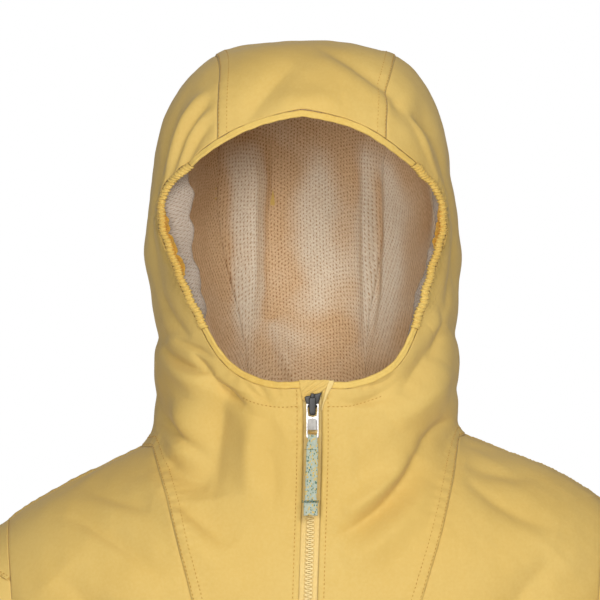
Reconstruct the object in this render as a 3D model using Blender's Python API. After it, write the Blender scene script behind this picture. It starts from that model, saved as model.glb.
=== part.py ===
"""Hooded half-zip anorak pullover, hollow, in the pose it takes on a wearer.

Units are metres, +Z is up, the garment faces -Y and +X is the wearer's left.
The origin is the middle of the neck line, at the height of the shoulders' inner ends.
"""

import math

import bmesh
import bpy
import numpy as np
from mathutils import Matrix, Vector

# ---------------------------------------------------------------- driving dimensions
CLOTH = 0.0012            # wall of the shell fabric
MESH_CLOTH = 0.0010       # wall of the hood's mesh lining
LINING_DEPTH = 0.0019     # from the shell's outer face to the lining's outer face
SEAM_GAP = 0.0003         # between two pieces at a seam
HEM_Z, HEM_CASING = -0.640, 0.025
ZIP_OPENING = 0.0070      # half the width of the slot that the zip shows in
ZIP_BOTTOM_Z = -0.352
V_POINT_Z = -0.365        # where the two hood-and-front pieces end
V_POINT_HALF = 0.014
UNDERARM_Z = -0.235
CAP_NOTCH_Z = -0.095      # where the sleeve cap's seam meets the armhole

# Torso: half width, and depth in front of and behind the shoulder line, at each height.
TORSO = {
    "z":          (-0.660, -0.500, -0.365, -0.235, -0.120, -0.040, 0.060),
    "half_width": (0.226, 0.234, 0.235, 0.237, 0.247, 0.250, 0.250),
    "front":      (0.118, 0.125, 0.128, 0.131, 0.131, 0.125, 0.116),
    "back":       (0.110, 0.113, 0.117, 0.124, 0.126, 0.113, 0.096),
}
TORSO_POWER = 2.4         # how square its sections are: 2 is an ellipse

# The shoulders are a sloping roof that cuts the torso off.
SHOULDER_TOP_Z, SHOULDER_SLOPE, SHOULDER_ROUND = 0.056, 0.447, 4.5
SHOULDER_FILLET, NECK_FILLET = 0.030, 0.013

# Hood and neck: the same columns, up to the ears, and a dome above them.
HOOD = {
    "z":          (-0.200, -0.080, 0.000, 0.040, 0.080, 0.150),
    "half_width": (0.100, 0.112, 0.118, 0.119, 0.118, 0.1215),
    "front":      (0.104, 0.120, 0.131, 0.138, 0.140, 0.140),
    "back":       (0.055, 0.066, 0.082, 0.100, 0.122, 0.136),
}
HOOD_POWER = 2.3
EAR_Z, DOME_HEIGHT, DOME_POWER = 0.150, 0.163, 3.1
DOME_ARC = 0.140          # arc length over the dome for each radian of rise
FORM_SCALE = 0.12         # turns the ovals' ratio into metres, near enough

# Face opening, right half, seen from the front, from the chin up.
RIM = {
    "x": (0.0000, 0.0260, 0.0480, 0.0640, 0.0775, 0.0925, 0.1052, 0.1000, 0.0700, 0.0360, 0.0000),
    "z": (0.0495, 0.0480, 0.0540, 0.0660, 0.0900, 0.1280, 0.1680, 0.1960, 0.2220, 0.2400, 0.2470),
}
RIM_ROLL = 0.0050         # width of the roll round the face opening

# Seam between the hood's centre and side pieces: half width of the centre piece, rim to nape.
CENTRE = {
    "along":      (0.00, 0.30, 0.60, 1.00),
    "half_width": (0.066, 0.073, 0.070, 0.046),
}

# Front seam of the hood-and-front pieces, seen from the front.
V_SEAM = {
    "z": (V_POINT_Z, -0.280, -0.200, -0.115, -0.080, -0.040, -0.020, 0.000),
    "x": (V_POINT_HALF, 0.0395, 0.0625, 0.0863, 0.0960, 0.1065, 0.1125, 0.1180),
}

# Armhole seam, seen from the front.
ARMHOLE = {
    "z": (UNDERARM_Z, -0.215, -0.190, -0.160, -0.125, -0.095, -0.050),
    "x": (0.2370, 0.2250, 0.2200, 0.2195, 0.2220, 0.2255, 0.2290),
}

# Sleeve: one row for each ring; its outer and inner points, half depth, and how far forward.
SLEEVE = {
    "outer_x": (0.229, 0.262, 0.298, 0.325, 0.345, 0.364, 0.380, 0.390, 0.392),
    "outer_z": (-0.053, -0.075, -0.115, -0.170, -0.245, -0.345, -0.455, -0.555, -0.612),
    "inner_x": (0.237, 0.2475, 0.2525, 0.2555, 0.2590, 0.2670, 0.2810, 0.2990, 0.3100),
    "inner_z": (-0.235, -0.2480, -0.2620, -0.285, -0.3240, -0.385, -0.470, -0.565, -0.622),
    "depth":   (0.066, 0.068, 0.070, 0.070, 0.068, 0.062, 0.056, 0.048, 0.042),
    "forward": (0.000, 0.000, 0.000, 0.001, 0.003, 0.010, 0.021, 0.032, 0.037),
}
CUFF_LENGTH = 0.028
CAP_WIDTH = (0.12, 0.70, 1.00, 0.70, 0.12)    # cap's outer edge, in rings, notch to notch

# How it hangs: it sways to the wearer's left, mostly in front, and that shoulder sits higher.
SWAY = {
    "z": (-0.360, -0.120, 0.030, 0.070, 0.170, 0.250, 0.320),
    "x": (0.0, 0.0042, 0.0075, 0.0066, 0.0, 0.0, 0.0060),
}
SWAY_BEHIND = 0.45        # share of the sway at the sides and back
SHOULDER_TILT = 0.042

# Largest folds. Each runs from start by bend to end, seen from its face (x, z).
FOLDS = {
    "face":   ("front", "front", "front", "front", "back", "back", "front", "back"),
    "start":  ((-0.118, 0.062), (-0.062, 0.044), (0.028, -0.060), (-0.118, -0.004),
               (0.100, -0.110), (-0.030, -0.200), (-0.150, -0.330), (-0.150, -0.060)),
    "bend":   ((-0.085, 0.010), (-0.066, 0.005), (0.062, -0.040), (-0.100, -0.036),
               (0.040, -0.180), (-0.060, -0.330), (-0.110, -0.470), (-0.070, -0.150)),
    "end":    ((-0.075, -0.030), (-0.040, -0.055), (0.112, 0.012), (-0.058, -0.085),
               (0.010, -0.300), (-0.110, -0.440), (-0.120, -0.600), (-0.020, -0.200)),
    "width":  (0.016, 0.018, 0.017, 0.012, 0.030, 0.034, 0.036, 0.026),
    "height": (-0.0050, -0.0045, -0.0050, -0.0032, 0.0060, 0.0070, 0.0080, 0.0055),
}

# Rows that every torso piece shares, so that seams meet point to point.
LOW_ROWS = (-0.560, -0.500, -0.430)
CHEST_ROWS = (-0.320, -0.280)
ARM_ROWS = (-0.215, -0.190, -0.160, -0.125, CAP_NOTCH_Z, -0.074)
SHOULDER_ROWS = (-0.042, -0.031, -0.021, -0.012, -0.005)

COLOURS = {
    "shell": (0.72, 0.46, 0.11, 1), "mesh": (0.70, 0.60, 0.44, 1), "tape": (0.80, 0.56, 0.20, 1),
    "slider": (0.03, 0.03, 0.03, 1), "metal": (0.72, 0.71, 0.70, 1), "webbing": (0.50, 0.60, 0.46, 1),
}


# ---------------------------------------------------------------- small numeric helpers
def smooth_column(at, where, values):
    """A smooth curve through a table's column: a cubic between rows, level past the ends."""
    at = np.clip(np.asarray(at, float), where[0], where[-1])
    where, values = np.asarray(where, float), np.asarray(values, float)
    slope = np.gradient(values, where)
    slope[0] = slope[-1] = 0.0
    i = np.clip(np.searchsorted(where, at) - 1, 0, len(where) - 2)
    step = where[i + 1] - where[i]
    t = (at - where[i]) / step
    return (
        values[i] * (1 + 2 * t) * (1 - t) ** 2
        + values[i + 1] * t * t * (3 - 2 * t)
        + step * (slope[i] * t * (1 - t) ** 2 - slope[i + 1] * t * t * (1 - t))
    )


def column(table, name, at):
    return smooth_column(at, table["z"], table[name])


def smooth_step(t):
    t = np.clip(t, 0, 1)
    return t * t * (3 - 2 * t)


def smooth_max(a, b, radius):
    h = np.maximum(radius - np.abs(a - b), 0) / radius
    return np.maximum(a, b) + h * h * radius / 4


def smooth_min(a, b, radius):
    return -smooth_max(-a, -b, radius)


def unit(v):
    return v / np.maximum(np.linalg.norm(v, axis=-1, keepdims=True), 1e-12)


# ---------------------------------------------------------------- the garment's form
def oval(p, table, power):
    """How far outside a table's section each point is, roughly in metres."""
    x, y, z = p[..., 0], p[..., 1], p[..., 2]
    depth = np.where(y < 0, column(table, "front", z), column(table, "back", z))
    size = np.abs(x / column(table, "half_width", z)) ** power + np.abs(y / depth) ** power
    return (size ** (1 / power) - 1) * FORM_SCALE


def dome(p):
    """The hood above the ears, as a rounded box of its largest section."""
    x, y, z = p[..., 0], p[..., 1], p[..., 2]
    half, front, back = (HOOD[name][-1] for name in ("half_width", "front", "back"))
    flat = np.abs(x / half) ** HOOD_POWER + np.abs(y / np.where(y < 0, front, back)) ** HOOD_POWER
    rise = np.maximum(z - EAR_Z, 0) / DOME_HEIGHT
    size = (flat ** (DOME_POWER / HOOD_POWER) + rise ** DOME_POWER) ** (1 / DOME_POWER)
    return (size - 1) * FORM_SCALE


def form(p):
    """Below zero inside the garment's form and above zero outside it."""
    x, y, z = p[..., 0], p[..., 1], p[..., 2]
    roof = 0.9 * (z - SHOULDER_TOP_Z + SHOULDER_SLOPE * np.abs(x) + SHOULDER_ROUND * y * y)
    torso = smooth_max(oval(p, TORSO, TORSO_POWER), roof, SHOULDER_FILLET)
    hood = np.where(z > EAR_Z, dome(p), oval(p, HOOD, HOOD_POWER))
    return smooth_min(torso, hood, NECK_FILLET)


def hit(origin, direction):
    """Where a ray from inside the form leaves it."""
    origin, direction = np.broadcast_arrays(np.asarray(origin, float), unit(np.asarray(direction, float)))
    near, far = np.zeros(origin.shape[:-1]), np.full(origin.shape[:-1], 0.40)
    for _ in range(42):
        middle = (near + far) / 2
        inside = form(origin + direction * middle[..., None]) < 0
        near, far = np.where(inside, middle, near), np.where(inside, far, middle)
    return origin + direction * far[..., None]


def around(angle, height):
    """The point at an angle round the body (0 in front, 90 degrees at the wearer's left).

    Above the ears, height goes on as an arc length over the dome.
    """
    angle, height = np.broadcast_arrays(np.asarray(angle, float), np.asarray(height, float))
    climb = np.maximum(height - EAR_Z, 0) / DOME_ARC
    origin = np.stack([0 * height, 0 * height, np.minimum(height, EAR_Z)], -1)
    ray = np.stack([np.sin(angle) * np.cos(climb), -np.cos(angle) * np.cos(climb), np.sin(climb)], -1)
    return hit(origin, ray)


def address(p):
    """The angle and height at which around() gives a point of the surface."""
    level = np.maximum(p[..., 2] - EAR_Z, 0)
    climb = np.arctan2(level, np.hypot(p[..., 0], p[..., 1]))
    height = np.where(p[..., 2] > EAR_Z, EAR_Z + climb * DOME_ARC, p[..., 2])
    return np.arctan2(p[..., 0], -p[..., 1]), height


def facing(x, z, side=-1):
    """The surface's point at x and z, in front (side -1) or behind (side 1)."""
    x, z = np.broadcast_arrays(np.asarray(x, float), np.asarray(z, float))
    return hit(np.stack([x, 0 * x, z], -1), (0, side, 0))


def outward(p):
    """The form's outward normal, the same for every piece that meets at a point."""
    e = 1e-5
    return unit(np.stack([form(p + e * axis) - form(p - e * axis) for axis in np.eye(3)], -1))


def fold_relief(p, normal):
    """How far the large folds lift the cloth at each point."""
    lift = np.zeros(p.shape[:-1])
    t = np.linspace(0, 1, 17)[:, None]
    for face, start, bend, end, width, height in zip(*(FOLDS[k] for k in FOLDS)):
        line = (1 - t) ** 2 * np.array(start) + 2 * t * (1 - t) * np.array(bend) + t * t * np.array(end)
        away = np.linalg.norm(p[..., None, [0, 2]] - line, axis=-1)
        along = t[away.argmin(-1), 0]
        facing_it = np.clip(normal[..., 1] * (-1 if face == "front" else 1) * 2, 0, 1)
        ends = np.sin(np.pi * np.clip(along, 0.02, 0.98)) ** 0.5
        lift += height * ends * facing_it * np.exp(-((away.min(-1) / width) ** 2))
    centre_line = np.minimum(np.abs(p[..., 0]) / 0.020, 1)
    return lift * smooth_step(centre_line)


def stance(p):
    """The way the garment hangs, as a gentle warp that every piece shares."""
    p = np.array(p, float)
    behind = SWAY_BEHIND * smooth_step((p[..., 2] + 0.010) / 0.050)
    frontness = behind + (1 - behind) * np.clip(-p[..., 1] / 0.12, 0, 1)
    fade = smooth_step((0.050 - p[..., 2]) / 0.070) * smooth_step((p[..., 2] + 0.45) / 0.30)
    p[..., 2] += SHOULDER_TILT * p[..., 0] * fade
    p[..., 0] += smooth_column(p[..., 2], SWAY["z"], SWAY["x"]) * frontness
    return p


# ---------------------------------------------------------------- making cloth
def material(name):
    made = bpy.data.materials.get(name)
    if made is None:
        made = bpy.data.materials.new(name)
        made.use_nodes = True
        shader = made.node_tree.nodes["Principled BSDF"]
        shader.inputs["Base Color"].default_value = COLOURS[name]
        shader.inputs["Roughness"].default_value = 0.35 if name in ("slider", "metal") else 0.8
        shader.inputs["Metallic"].default_value = 1.0 if name == "metal" else 0.0
    return made


def add_object(name, mesh, finish, smooth=True):
    obj = bpy.data.objects.new(name, mesh)
    garment.objects.link(obj)
    mesh.materials.append(material(finish))
    if smooth:
        mesh.shade_smooth()
        mesh.set_sharp_from_angle(angle=math.radians(40))
    return obj


def seam_inset(grid, sides="all"):
    """Pulls a grid's edges in by half the seam gap, along the cloth."""
    moved = grid.copy()
    edges = ((0, 0, 1, "first"), (0, -1, -2, "last"), (1, 0, 1, "low"), (1, -1, -2, "high"))
    for axis, end, inner, side in edges:
        if sides != "all" and side not in sides:
            continue
        edge, beside = np.take(grid, end, axis), np.take(grid, inner, axis)
        step = unit(beside - edge) * SEAM_GAP / 2
        if axis == 0:
            moved[end] += step
        else:
            moved[:, end] += step
    return moved


def wall(name, patches, thickness, finish, depth=0.0, folds=True, normals=None):
    """One cloth piece: grids of surface points, joined where they meet, given a thickness.

    The second skin lies along the form's own normals, so neighbours' edges stay parallel.
    A positive depth moves the whole piece inwards.
    """
    bm = bmesh.new()
    skins = bm.verts.layers.float_vector.new("normal")
    for k, grid in enumerate(patches):
        normal = outward(grid) if normals is None else normals[k]
        lift = (fold_relief(grid, normal) if folds else 0.0 * grid[..., 0]) - depth
        points = grid + normal * lift[..., None]
        verts = [[bm.verts.new(p) for p in row] for row in points]
        for row, normal_row in zip(verts, normal):
            for v, n in zip(row, normal_row):
                v[skins] = n
        for low, high in zip(verts, verts[1:]):
            for i in range(len(low) - 1):
                bm.faces.new((low[i], low[i + 1], high[i + 1], high[i]))
    bmesh.ops.remove_doubles(bm, verts=bm.verts, dist=0.00012)
    bmesh.ops.dissolve_degenerate(bm, dist=0.00005, edges=bm.edges)
    bmesh.ops.triangulate(bm, faces=bm.faces, quad_method="FIXED")
    bmesh.ops.recalc_face_normals(bm, faces=bm.faces)
    first = next(iter(bm.faces))
    if first.normal.dot(first.verts[0][skins]) < 0:
        bmesh.ops.reverse_faces(bm, faces=bm.faces)
    outer = list(bm.verts)
    rim = [e for e in bm.edges if e.is_boundary]
    loops = [(e, e.link_loops[0]) for e in rim]
    inner = {v: bm.verts.new(v.co - v[skins].normalized() * thickness) for v in outer}
    for face in list(bm.faces):
        bm.faces.new([inner[v] for v in reversed(face.verts)])
    for _, loop in loops:
        a, b = loop.vert, loop.link_loop_next.vert
        bm.faces.new((b, a, inner[a], inner[b]))
    for v in bm.verts:
        v.co = Vector(stance(np.array(v.co)))
    bmesh.ops.triangulate(bm, faces=bm.faces)
    mesh = bpy.data.meshes.new(name)
    bm.to_mesh(mesh)
    bm.free()
    return add_object(name, mesh, finish)


def mirrored(grid):
    """The same cloth on the wearer's other side."""
    return grid * np.array((-1.0, 1.0, 1.0))


# ---------------------------------------------------------------- torso
def shoulder_point_height():
    """Where the armhole seam crosses the shoulder's ridge."""
    low, high = -0.075, -0.030
    for _ in range(40):
        z = (low + high) / 2
        if around(math.pi / 2, z)[0] > column(ARMHOLE, "x", z):
            low = z
        else:
            high = z
    return z


SHOULDER_Z = shoulder_point_height()
TORSO_ROWS = (HEM_Z + HEM_CASING, *LOW_ROWS, V_POINT_Z, *CHEST_ROWS, UNDERARM_Z,
              *ARM_ROWS, SHOULDER_Z, *SHOULDER_ROWS, 0.0)


def side_angle(z, side):
    """The angle of a torso piece's outer edge: side seam, armhole or shoulder seam."""
    if not UNDERARM_Z < z < SHOULDER_Z:
        return math.pi / 2
    p = facing(column(ARMHOLE, "x", z), z, side)
    return float(np.arctan2(p[0], -p[1]))


def v_seam_angle(z):
    if z >= 0:
        return math.pi / 2
    x = np.interp(z, V_SEAM["z"], V_SEAM["x"]) if z > V_POINT_Z else V_POINT_HALF
    p = facing(x, z)
    return float(np.arctan2(p[0], -p[1]))


def front_half(columns=8):
    """Grids for half of the front: the strip under the zip, and the rest up to the neck."""
    rows = [around(np.linspace(v_seam_angle(z), side_angle(z, -1), columns + 1), z) for z in TORSO_ROWS]
    outer = np.array(rows)
    under = [z for z in TORSO_ROWS if z <= V_POINT_Z]
    strip = np.array([around(np.array([0.0, v_seam_angle(z)]), z) for z in under])
    v_row = len(under) - 1
    rest = seam_inset(outer, ("first", "last", "high"))
    step = unit(outer[v_row:, 1] - outer[v_row:, 0]) * SEAM_GAP / 2
    rest[v_row + 1:, 0] += step[1:]
    rest[v_row, 0] += unit(outer[v_row - 1, 0] - outer[v_row, 0]) * SEAM_GAP / 2
    rest[-1] = outer[-1] + unit(outer[-2] - outer[-1]) * SEAM_GAP
    strip = seam_inset(strip, ("first", "last"))
    strip[-1, 1] = rest[v_row, 0]
    return [strip, rest]


def build_torso():
    half = front_half()
    wall("front", half + [mirrored(g) for g in half], CLOTH, "shell")
    rows = []
    for z in TORSO_ROWS:
        edge = side_angle(z, 1)
        corner = math.pi - NAPE_ANGLE
        left = np.linspace(edge, corner, SIDE_COLUMNS + 1)
        centre = np.linspace(corner, 2 * math.pi - corner, CENTRE_COLUMNS + 1)
        rows.append(around(np.concatenate([left, centre[1:-1], 2 * math.pi - left[::-1]]), z))
    wall("back", [seam_inset(np.array(rows))], CLOTH, "shell")


def build_hem():
    angles = np.linspace(0, 2 * math.pi, 37)
    band = np.array([around(angles, z) for z in (HEM_Z, HEM_Z + HEM_CASING - SEAM_GAP)])
    wall("hem_casing", [band], 2.2 * CLOTH, "shell", depth=-0.0004, folds=False)


# ---------------------------------------------------------------- hood
CENTRE_COLUMNS = 6        # across the hood's centre piece
SIDE_COLUMNS = 6          # along the neck seam, from the shoulder to the centre piece
FRONT_COLUMNS = 5         # from the zip to the shoulder
HOOD_ROWS = 10            # along the seam between centre and side pieces
SEAM_REACH = 2.5          # how fast that seam's pull on the side's rows fades towards the zip


def centre_path(x, along, start):
    """A point of the hood's centre piece: over the head from the rim, then down to the nape.

    Args: x across, along from 0 at the rim to 1 at the nape, and the rim's angle of rise.
    """
    over = 0.68
    rise = start + (math.pi - start) * min(along / over, 1.0)
    if along <= over:
        return hit((x, 0, EAR_Z), (0, -math.cos(rise), math.sin(rise)))
    return hit((x, 0, EAR_Z * (1 - (along - over) / (1 - over))), (0, 1, 0))


def rim_curve(t):
    """The face opening's edge, from the chin (0) to the top (1), on the right half."""
    s = np.linspace(0, 1, len(RIM["x"]))
    x, z = smooth_column(t, s, RIM["x"]), smooth_column(t, s, RIM["z"])
    return np.stack([x, z], -1)


def rim_outline(t, out):
    """The rim moved out from the opening's middle, seen from the front."""
    p = rim_curve(t)
    d = 0.002
    along = unit(rim_curve(np.clip(t + d, 0, 1)) - rim_curve(np.clip(t - d, 0, 1)))
    return p + out * np.stack([along[..., 1], -along[..., 0]], -1)


def rim_share_at(x, out):
    """Where on the rim, above its widest point, the opening is x wide."""
    low, high = 0.6, 1.0
    for _ in range(40):
        t = (low + high) / 2
        low, high = (t, high) if rim_outline(t, out)[0] > x else (low, t)
    return t


RIM_OUT = RIM_ROLL + SEAM_GAP
CORNER_T = rim_share_at(CENTRE["half_width"][0], RIM_OUT)
NAPE_ANGLE = float(np.arctan2(CENTRE["half_width"][-1], facing(CENTRE["half_width"][-1], 0, 1)[1]))


def centre_grid():
    """The hood's centre piece, rim to nape by left to right."""
    share = np.linspace(-1, 1, CENTRE_COLUMNS + 1)
    alongs = np.linspace(0, 1, HOOD_ROWS + 1)
    grid = np.zeros((HOOD_ROWS + 1, CENTRE_COLUMNS + 1, 3))
    for j, s in enumerate(share):
        x_rim = abs(s) * CENTRE["half_width"][0]
        t = rim_share_at(x_rim, RIM_OUT) if abs(s) > 0.01 else 1.0
        x, z = rim_outline(t, RIM_OUT)
        rim = facing(x * np.sign(s), z)
        start = math.atan2(rim[2] - EAR_Z, -rim[1])
        for i, along in enumerate(alongs):
            half = smooth_column(along, CENTRE["along"], CENTRE["half_width"])
            grid[i, j] = rim if i == 0 else centre_path(s * half, along, start)
    grid[-1] = around(np.linspace(math.pi + NAPE_ANGLE, math.pi - NAPE_ANGLE, CENTRE_COLUMNS + 1), 0.0)
    return grid


def side_grid(zip_edge, seam):
    """A hood side down to the neck line: blended between its four edges, on the form."""
    around_neck = np.concatenate([
        address(facing(zip_edge, 0.0))[0]
        + (math.pi / 2 - address(facing(zip_edge, 0.0))[0]) * np.linspace(0, 1, FRONT_COLUMNS + 1)[:-1],
        np.linspace(math.pi / 2, math.pi - NAPE_ANGLE, SIDE_COLUMNS + 1),
    ])
    n = FRONT_COLUMNS + SIDE_COLUMNS
    share = np.linspace(0, 1, n + 1)
    first = rim_share_for_zip(zip_edge)
    outline = rim_outline(first + (CORNER_T - first) * share, RIM_OUT)
    top = np.stack(address(facing(outline[:, 0], outline[:, 1])), -1)
    bottom = np.stack([around_neck, 0 * around_neck], -1)
    down = np.linspace(0, 1, HOOD_ROWS + 1)
    near = np.stack(address(facing(zip_edge, outline[0, 1] * (1 - down))), -1)
    far = np.stack(address(seam), -1)
    u, v = share[None, :, None] ** SEAM_REACH, down[:, None, None]
    mixed = (
        (1 - v) * top[None] + v * bottom[None] + (1 - u) * near[:, None] + u * far[:, None]
        - ((1 - u) * (1 - v) * top[0] + u * (1 - v) * top[-1] + (1 - u) * v * bottom[0] + u * v * bottom[-1])
    )
    grid = around(mixed[..., 0], mixed[..., 1])
    grid[:, -1] = seam
    return grid


def rim_share_for_zip(zip_edge):
    """Where on the rim the zip's edge meets it."""
    low, high = 0.0, 0.15
    for _ in range(40):
        t = (low + high) / 2
        low, high = (low, t) if rim_outline(t, RIM_OUT)[0] > zip_edge else (t, high)
    return t


def front_strip_grid(zip_edge):
    """From the zip to the V seam, neck line down to the V's point."""
    rows = []
    for z in [z for z in reversed(TORSO_ROWS) if z >= V_POINT_Z]:
        start = float(address(facing(zip_edge, z))[0])
        rows.append(around(np.linspace(start, v_seam_angle(z), FRONT_COLUMNS + 1), z))
    return np.array(rows)


def build_hood():
    centre = centre_grid()
    wall("hood_centre", [seam_inset(centre)], CLOTH, "shell")
    side = side_grid(ZIP_OPENING, centre[:, -1])
    strip = front_strip_grid(ZIP_OPENING)
    side_in = seam_inset(side, ("first", "low", "high"))
    for i in range(FRONT_COLUMNS + 1, side.shape[1]):
        side_in[-1, i] += unit(side[-2, i] - side[-1, i]) * SEAM_GAP / 2
    strip_in = seam_inset(strip, ("last", "low", "high"))
    strip_in[0] = side_in[-1, : FRONT_COLUMNS + 1]
    for name, turn in (("left", lambda g: g), ("right", mirrored)):
        wall(f"hood_and_front_{name}", [turn(side_in), turn(strip_in)], CLOTH, "shell")
        wall(f"hood_lining_{name}", [turn(side_in[:, 1:])], MESH_CLOTH, "mesh", depth=LINING_DEPTH)
    wall("hood_lining_centre", [seam_inset(centre)], MESH_CLOTH, "mesh", depth=LINING_DEPTH)
    return side, strip


# ---------------------------------------------------------------- roll round the face opening
CHIN_COLUMNS, ELASTIC_COLUMNS = 5, 10     # the hood's columns at which the roll's pieces end


def roll_points(t, sign):
    """Centre, across and outward directions of the roll at each share of the rim."""
    middle = rim_outline(t, RIM_ROLL / 2)
    outer = rim_outline(t, RIM_ROLL)
    centre = facing(middle[..., 0], middle[..., 1])
    normal = outward(centre)
    across = facing(outer[..., 0], outer[..., 1]) - centre
    across = unit(across - normal * (across * normal).sum(-1, keepdims=True))
    flip = np.array((sign, 1.0, 1.0))
    return centre * flip, across * flip, normal * flip


def roll(name, runs, half_width, half_height, finish="shell", sides=8):
    """A soft roll along the rim, closed at its ends. Each run is (shares, side of the body)."""
    parts = [roll_points(shares, sign) for shares, sign in runs]
    centre, across, normal = (np.concatenate(list(k)) for k in zip(*parts))
    normal_depth = CLOTH / 2
    angle = np.linspace(0, 2 * math.pi, sides, endpoint=False)
    bm = bmesh.new()
    rings = []
    for c, a, n in zip(centre, across, normal):
        lift = float(fold_relief(c, n)) - normal_depth
        ring = [c + n * lift + a * half_width * math.cos(k) + n * half_height * math.sin(k) for k in angle]
        rings.append([bm.verts.new(stance(p)) for p in ring])
    for low, high in zip(rings, rings[1:]):
        for i in range(sides):
            bm.faces.new((low[i], low[(i + 1) % sides], high[(i + 1) % sides], high[i]))
    bm.faces.new(list(reversed(rings[0])))
    bm.faces.new(rings[-1])
    bmesh.ops.recalc_face_normals(bm, faces=bm.faces)
    bmesh.ops.triangulate(bm, faces=bm.faces)
    mesh = bpy.data.meshes.new(name)
    bm.to_mesh(mesh)
    bm.free()
    return add_object(name, mesh, finish)


def build_rolls():
    first = rim_share_for_zip(ZIP_OPENING)
    shares = first + (CORNER_T - first) * np.linspace(0, 1, FRONT_COLUMNS + SIDE_COLUMNS + 1)
    crown = [rim_share_at(s * CENTRE["half_width"][0], RIM_OUT)
             for s in np.linspace(1, 0, CENTRE_COLUMNS // 2 + 1)[1:-1]]
    gap = 0.0006
    chin, elastic = shares[: CHIN_COLUMNS + 1].copy(), shares[CHIN_COLUMNS : ELASTIC_COLUMNS + 1].copy()
    top = np.concatenate([shares[ELASTIC_COLUMNS:], crown])
    chin[-1] -= gap
    elastic[0] += gap
    elastic[-1] -= gap
    top[0] += gap
    for name, sign in (("left", 1), ("right", -1)):
        roll(f"face_roll_chin_{name}", [(chin, sign)], 0.0023, 0.0013)
        roll(f"face_roll_elastic_{name}", [(elastic, sign)], 0.0024, 0.0020)
    roll("face_roll_top", [(top, 1), (np.array([1.0]), 1), (top[::-1], -1)], 0.0023, 0.0013)


# ---------------------------------------------------------------- sleeves
def armhole_ring():
    """The armhole's points, from the underarm up the front, over the top and down the back."""
    zs = np.array(ARM_ROWS)
    front, back = (facing(column(ARMHOLE, "x", zs), zs, side) for side in (-1, 1))
    under, top = around(math.pi / 2, UNDERARM_Z), around(math.pi / 2, SHOULDER_Z)
    return np.concatenate([[under], front, [top], back[::-1]])


def ring_angles(ring):
    """Each armhole point's angle round the sleeve: 0 under the arm, 180 degrees on top."""
    closed = np.concatenate([ring, ring[:1]])
    length = np.concatenate([[0], np.cumsum(np.linalg.norm(np.diff(closed, axis=0), axis=1))])
    top = len(ARM_ROWS) + 1
    front = length[: top + 1] / length[top] * math.pi
    back = math.pi + (length[top + 1 : -1] - length[top]) / (length[-1] - length[top]) * math.pi
    return np.concatenate([front, back])


def sleeve_point(angle, s, first_ring_offset):
    """A point of the sleeve at an angle round it and s rings down it."""
    k = np.arange(len(SLEEVE["outer_x"]), dtype=float)
    value = {name: smooth_ring(s, k, SLEEVE[name]) for name in SLEEVE}
    outer = np.array([value["outer_x"], -value["forward"], value["outer_z"]])
    inner = np.array([value["inner_x"], -value["forward"], value["inner_z"]])
    centre, arm = (outer + inner) / 2, (outer - inner) / 2
    p = centre - arm * math.cos(angle) + np.array([0, -value["depth"] * math.sin(angle), 0])
    return p + first_ring_offset * max(0.0, 1 - s / 2) ** 2


def smooth_ring(s, k, values):
    """Like smooth_column, but it leaves the end rings at the sleeve's own slope."""
    values = np.asarray(values, float)
    slope = np.gradient(values)
    i = int(np.clip(math.floor(s), 0, len(k) - 2))
    t = s - i
    return (
        values[i] * (1 + 2 * t) * (1 - t) ** 2 + values[i + 1] * t * t * (3 - 2 * t)
        + slope[i] * t * (1 - t) ** 2 - slope[i + 1] * t * t * (1 - t)
    )


def sleeve_surface():
    """A function of (which armhole point, rings down the sleeve) and one for its normal."""
    ring = armhole_ring()
    angles = ring_angles(ring)
    offsets = np.array([p - sleeve_point(a, 0, np.zeros(3)) for p, a in zip(ring, angles)])
    count = len(ring)

    def at(j, s):
        return sleeve_point(angles[j % count], s, offsets[j % count])

    def normal(j, s):
        along = at(j, s + 0.05) - at(j, max(s - 0.05, 0))
        across = at(j + 1, s) - at(j - 1, s)
        return unit(np.cross(along, across))

    return at, normal, count


def build_sleeves():
    at, normal, count = sleeve_surface()
    top = len(ARM_ROWS) + 1
    cap = {top - 2 + k: width for k, width in enumerate(CAP_WIDTH)}
    last = len(SLEEVE["outer_x"]) - 1
    gap = 1.8 * SEAM_GAP / 0.030
    downs = np.linspace(0, 1, 12)
    columns = list(range(count + 1))
    start = {j: cap.get(j % count, 0.0) + gap for j in columns}
    rows = [[start[j] + (last - gap - start[j]) * d ** 1.1 for j in columns] for d in downs]
    body = np.array([[at(j, s) for j, s in zip(columns, row)] for row in rows])
    body_normal = np.array([[normal(j, s) for j, s in zip(columns, row)] for row in rows])
    halves = {"front": slice(0, top + 1), "back": slice(top, count + 1)}
    cuff_rows = (last, last + CUFF_LENGTH / 0.056)
    cuff = np.array([[at(j, s) for j in columns] for s in cuff_rows])
    cuff_normal = np.array([[normal(j, s) for j in columns] for s in cuff_rows])
    cap_columns = sorted(cap)
    cap_rows = [[gap + (cap[j] - 2 * gap) * d for j in cap_columns] for d in (0, 0.5, 1)]
    cap_grid = np.array([[at(j, s) for j, s in zip(cap_columns, row)] for row in cap_rows])
    cap_normal = np.array([[normal(j, s) for j, s in zip(cap_columns, row)] for row in cap_rows])
    flip = np.array((-1.0, 1.0, 1.0))
    for name, turn in (("left", np.ones(3)), ("right", flip)):
        for half, span in halves.items():
            panel = seam_inset(body[:, span], ("low", "high"))
            wall(f"sleeve_{half}_{name}", [panel * turn], CLOTH, "shell",
                 folds=False, normals=[body_normal[:, span] * turn])
        wall(f"sleeve_cap_{name}", [seam_inset(cap_grid, ("low", "high")) * turn], CLOTH, "shell",
             folds=False, normals=[cap_normal * turn])
        wall(f"cuff_{name}", [cuff * turn], 2 * CLOTH, "shell", depth=-0.0003, folds=False,
             normals=[cuff_normal * turn])


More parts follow.
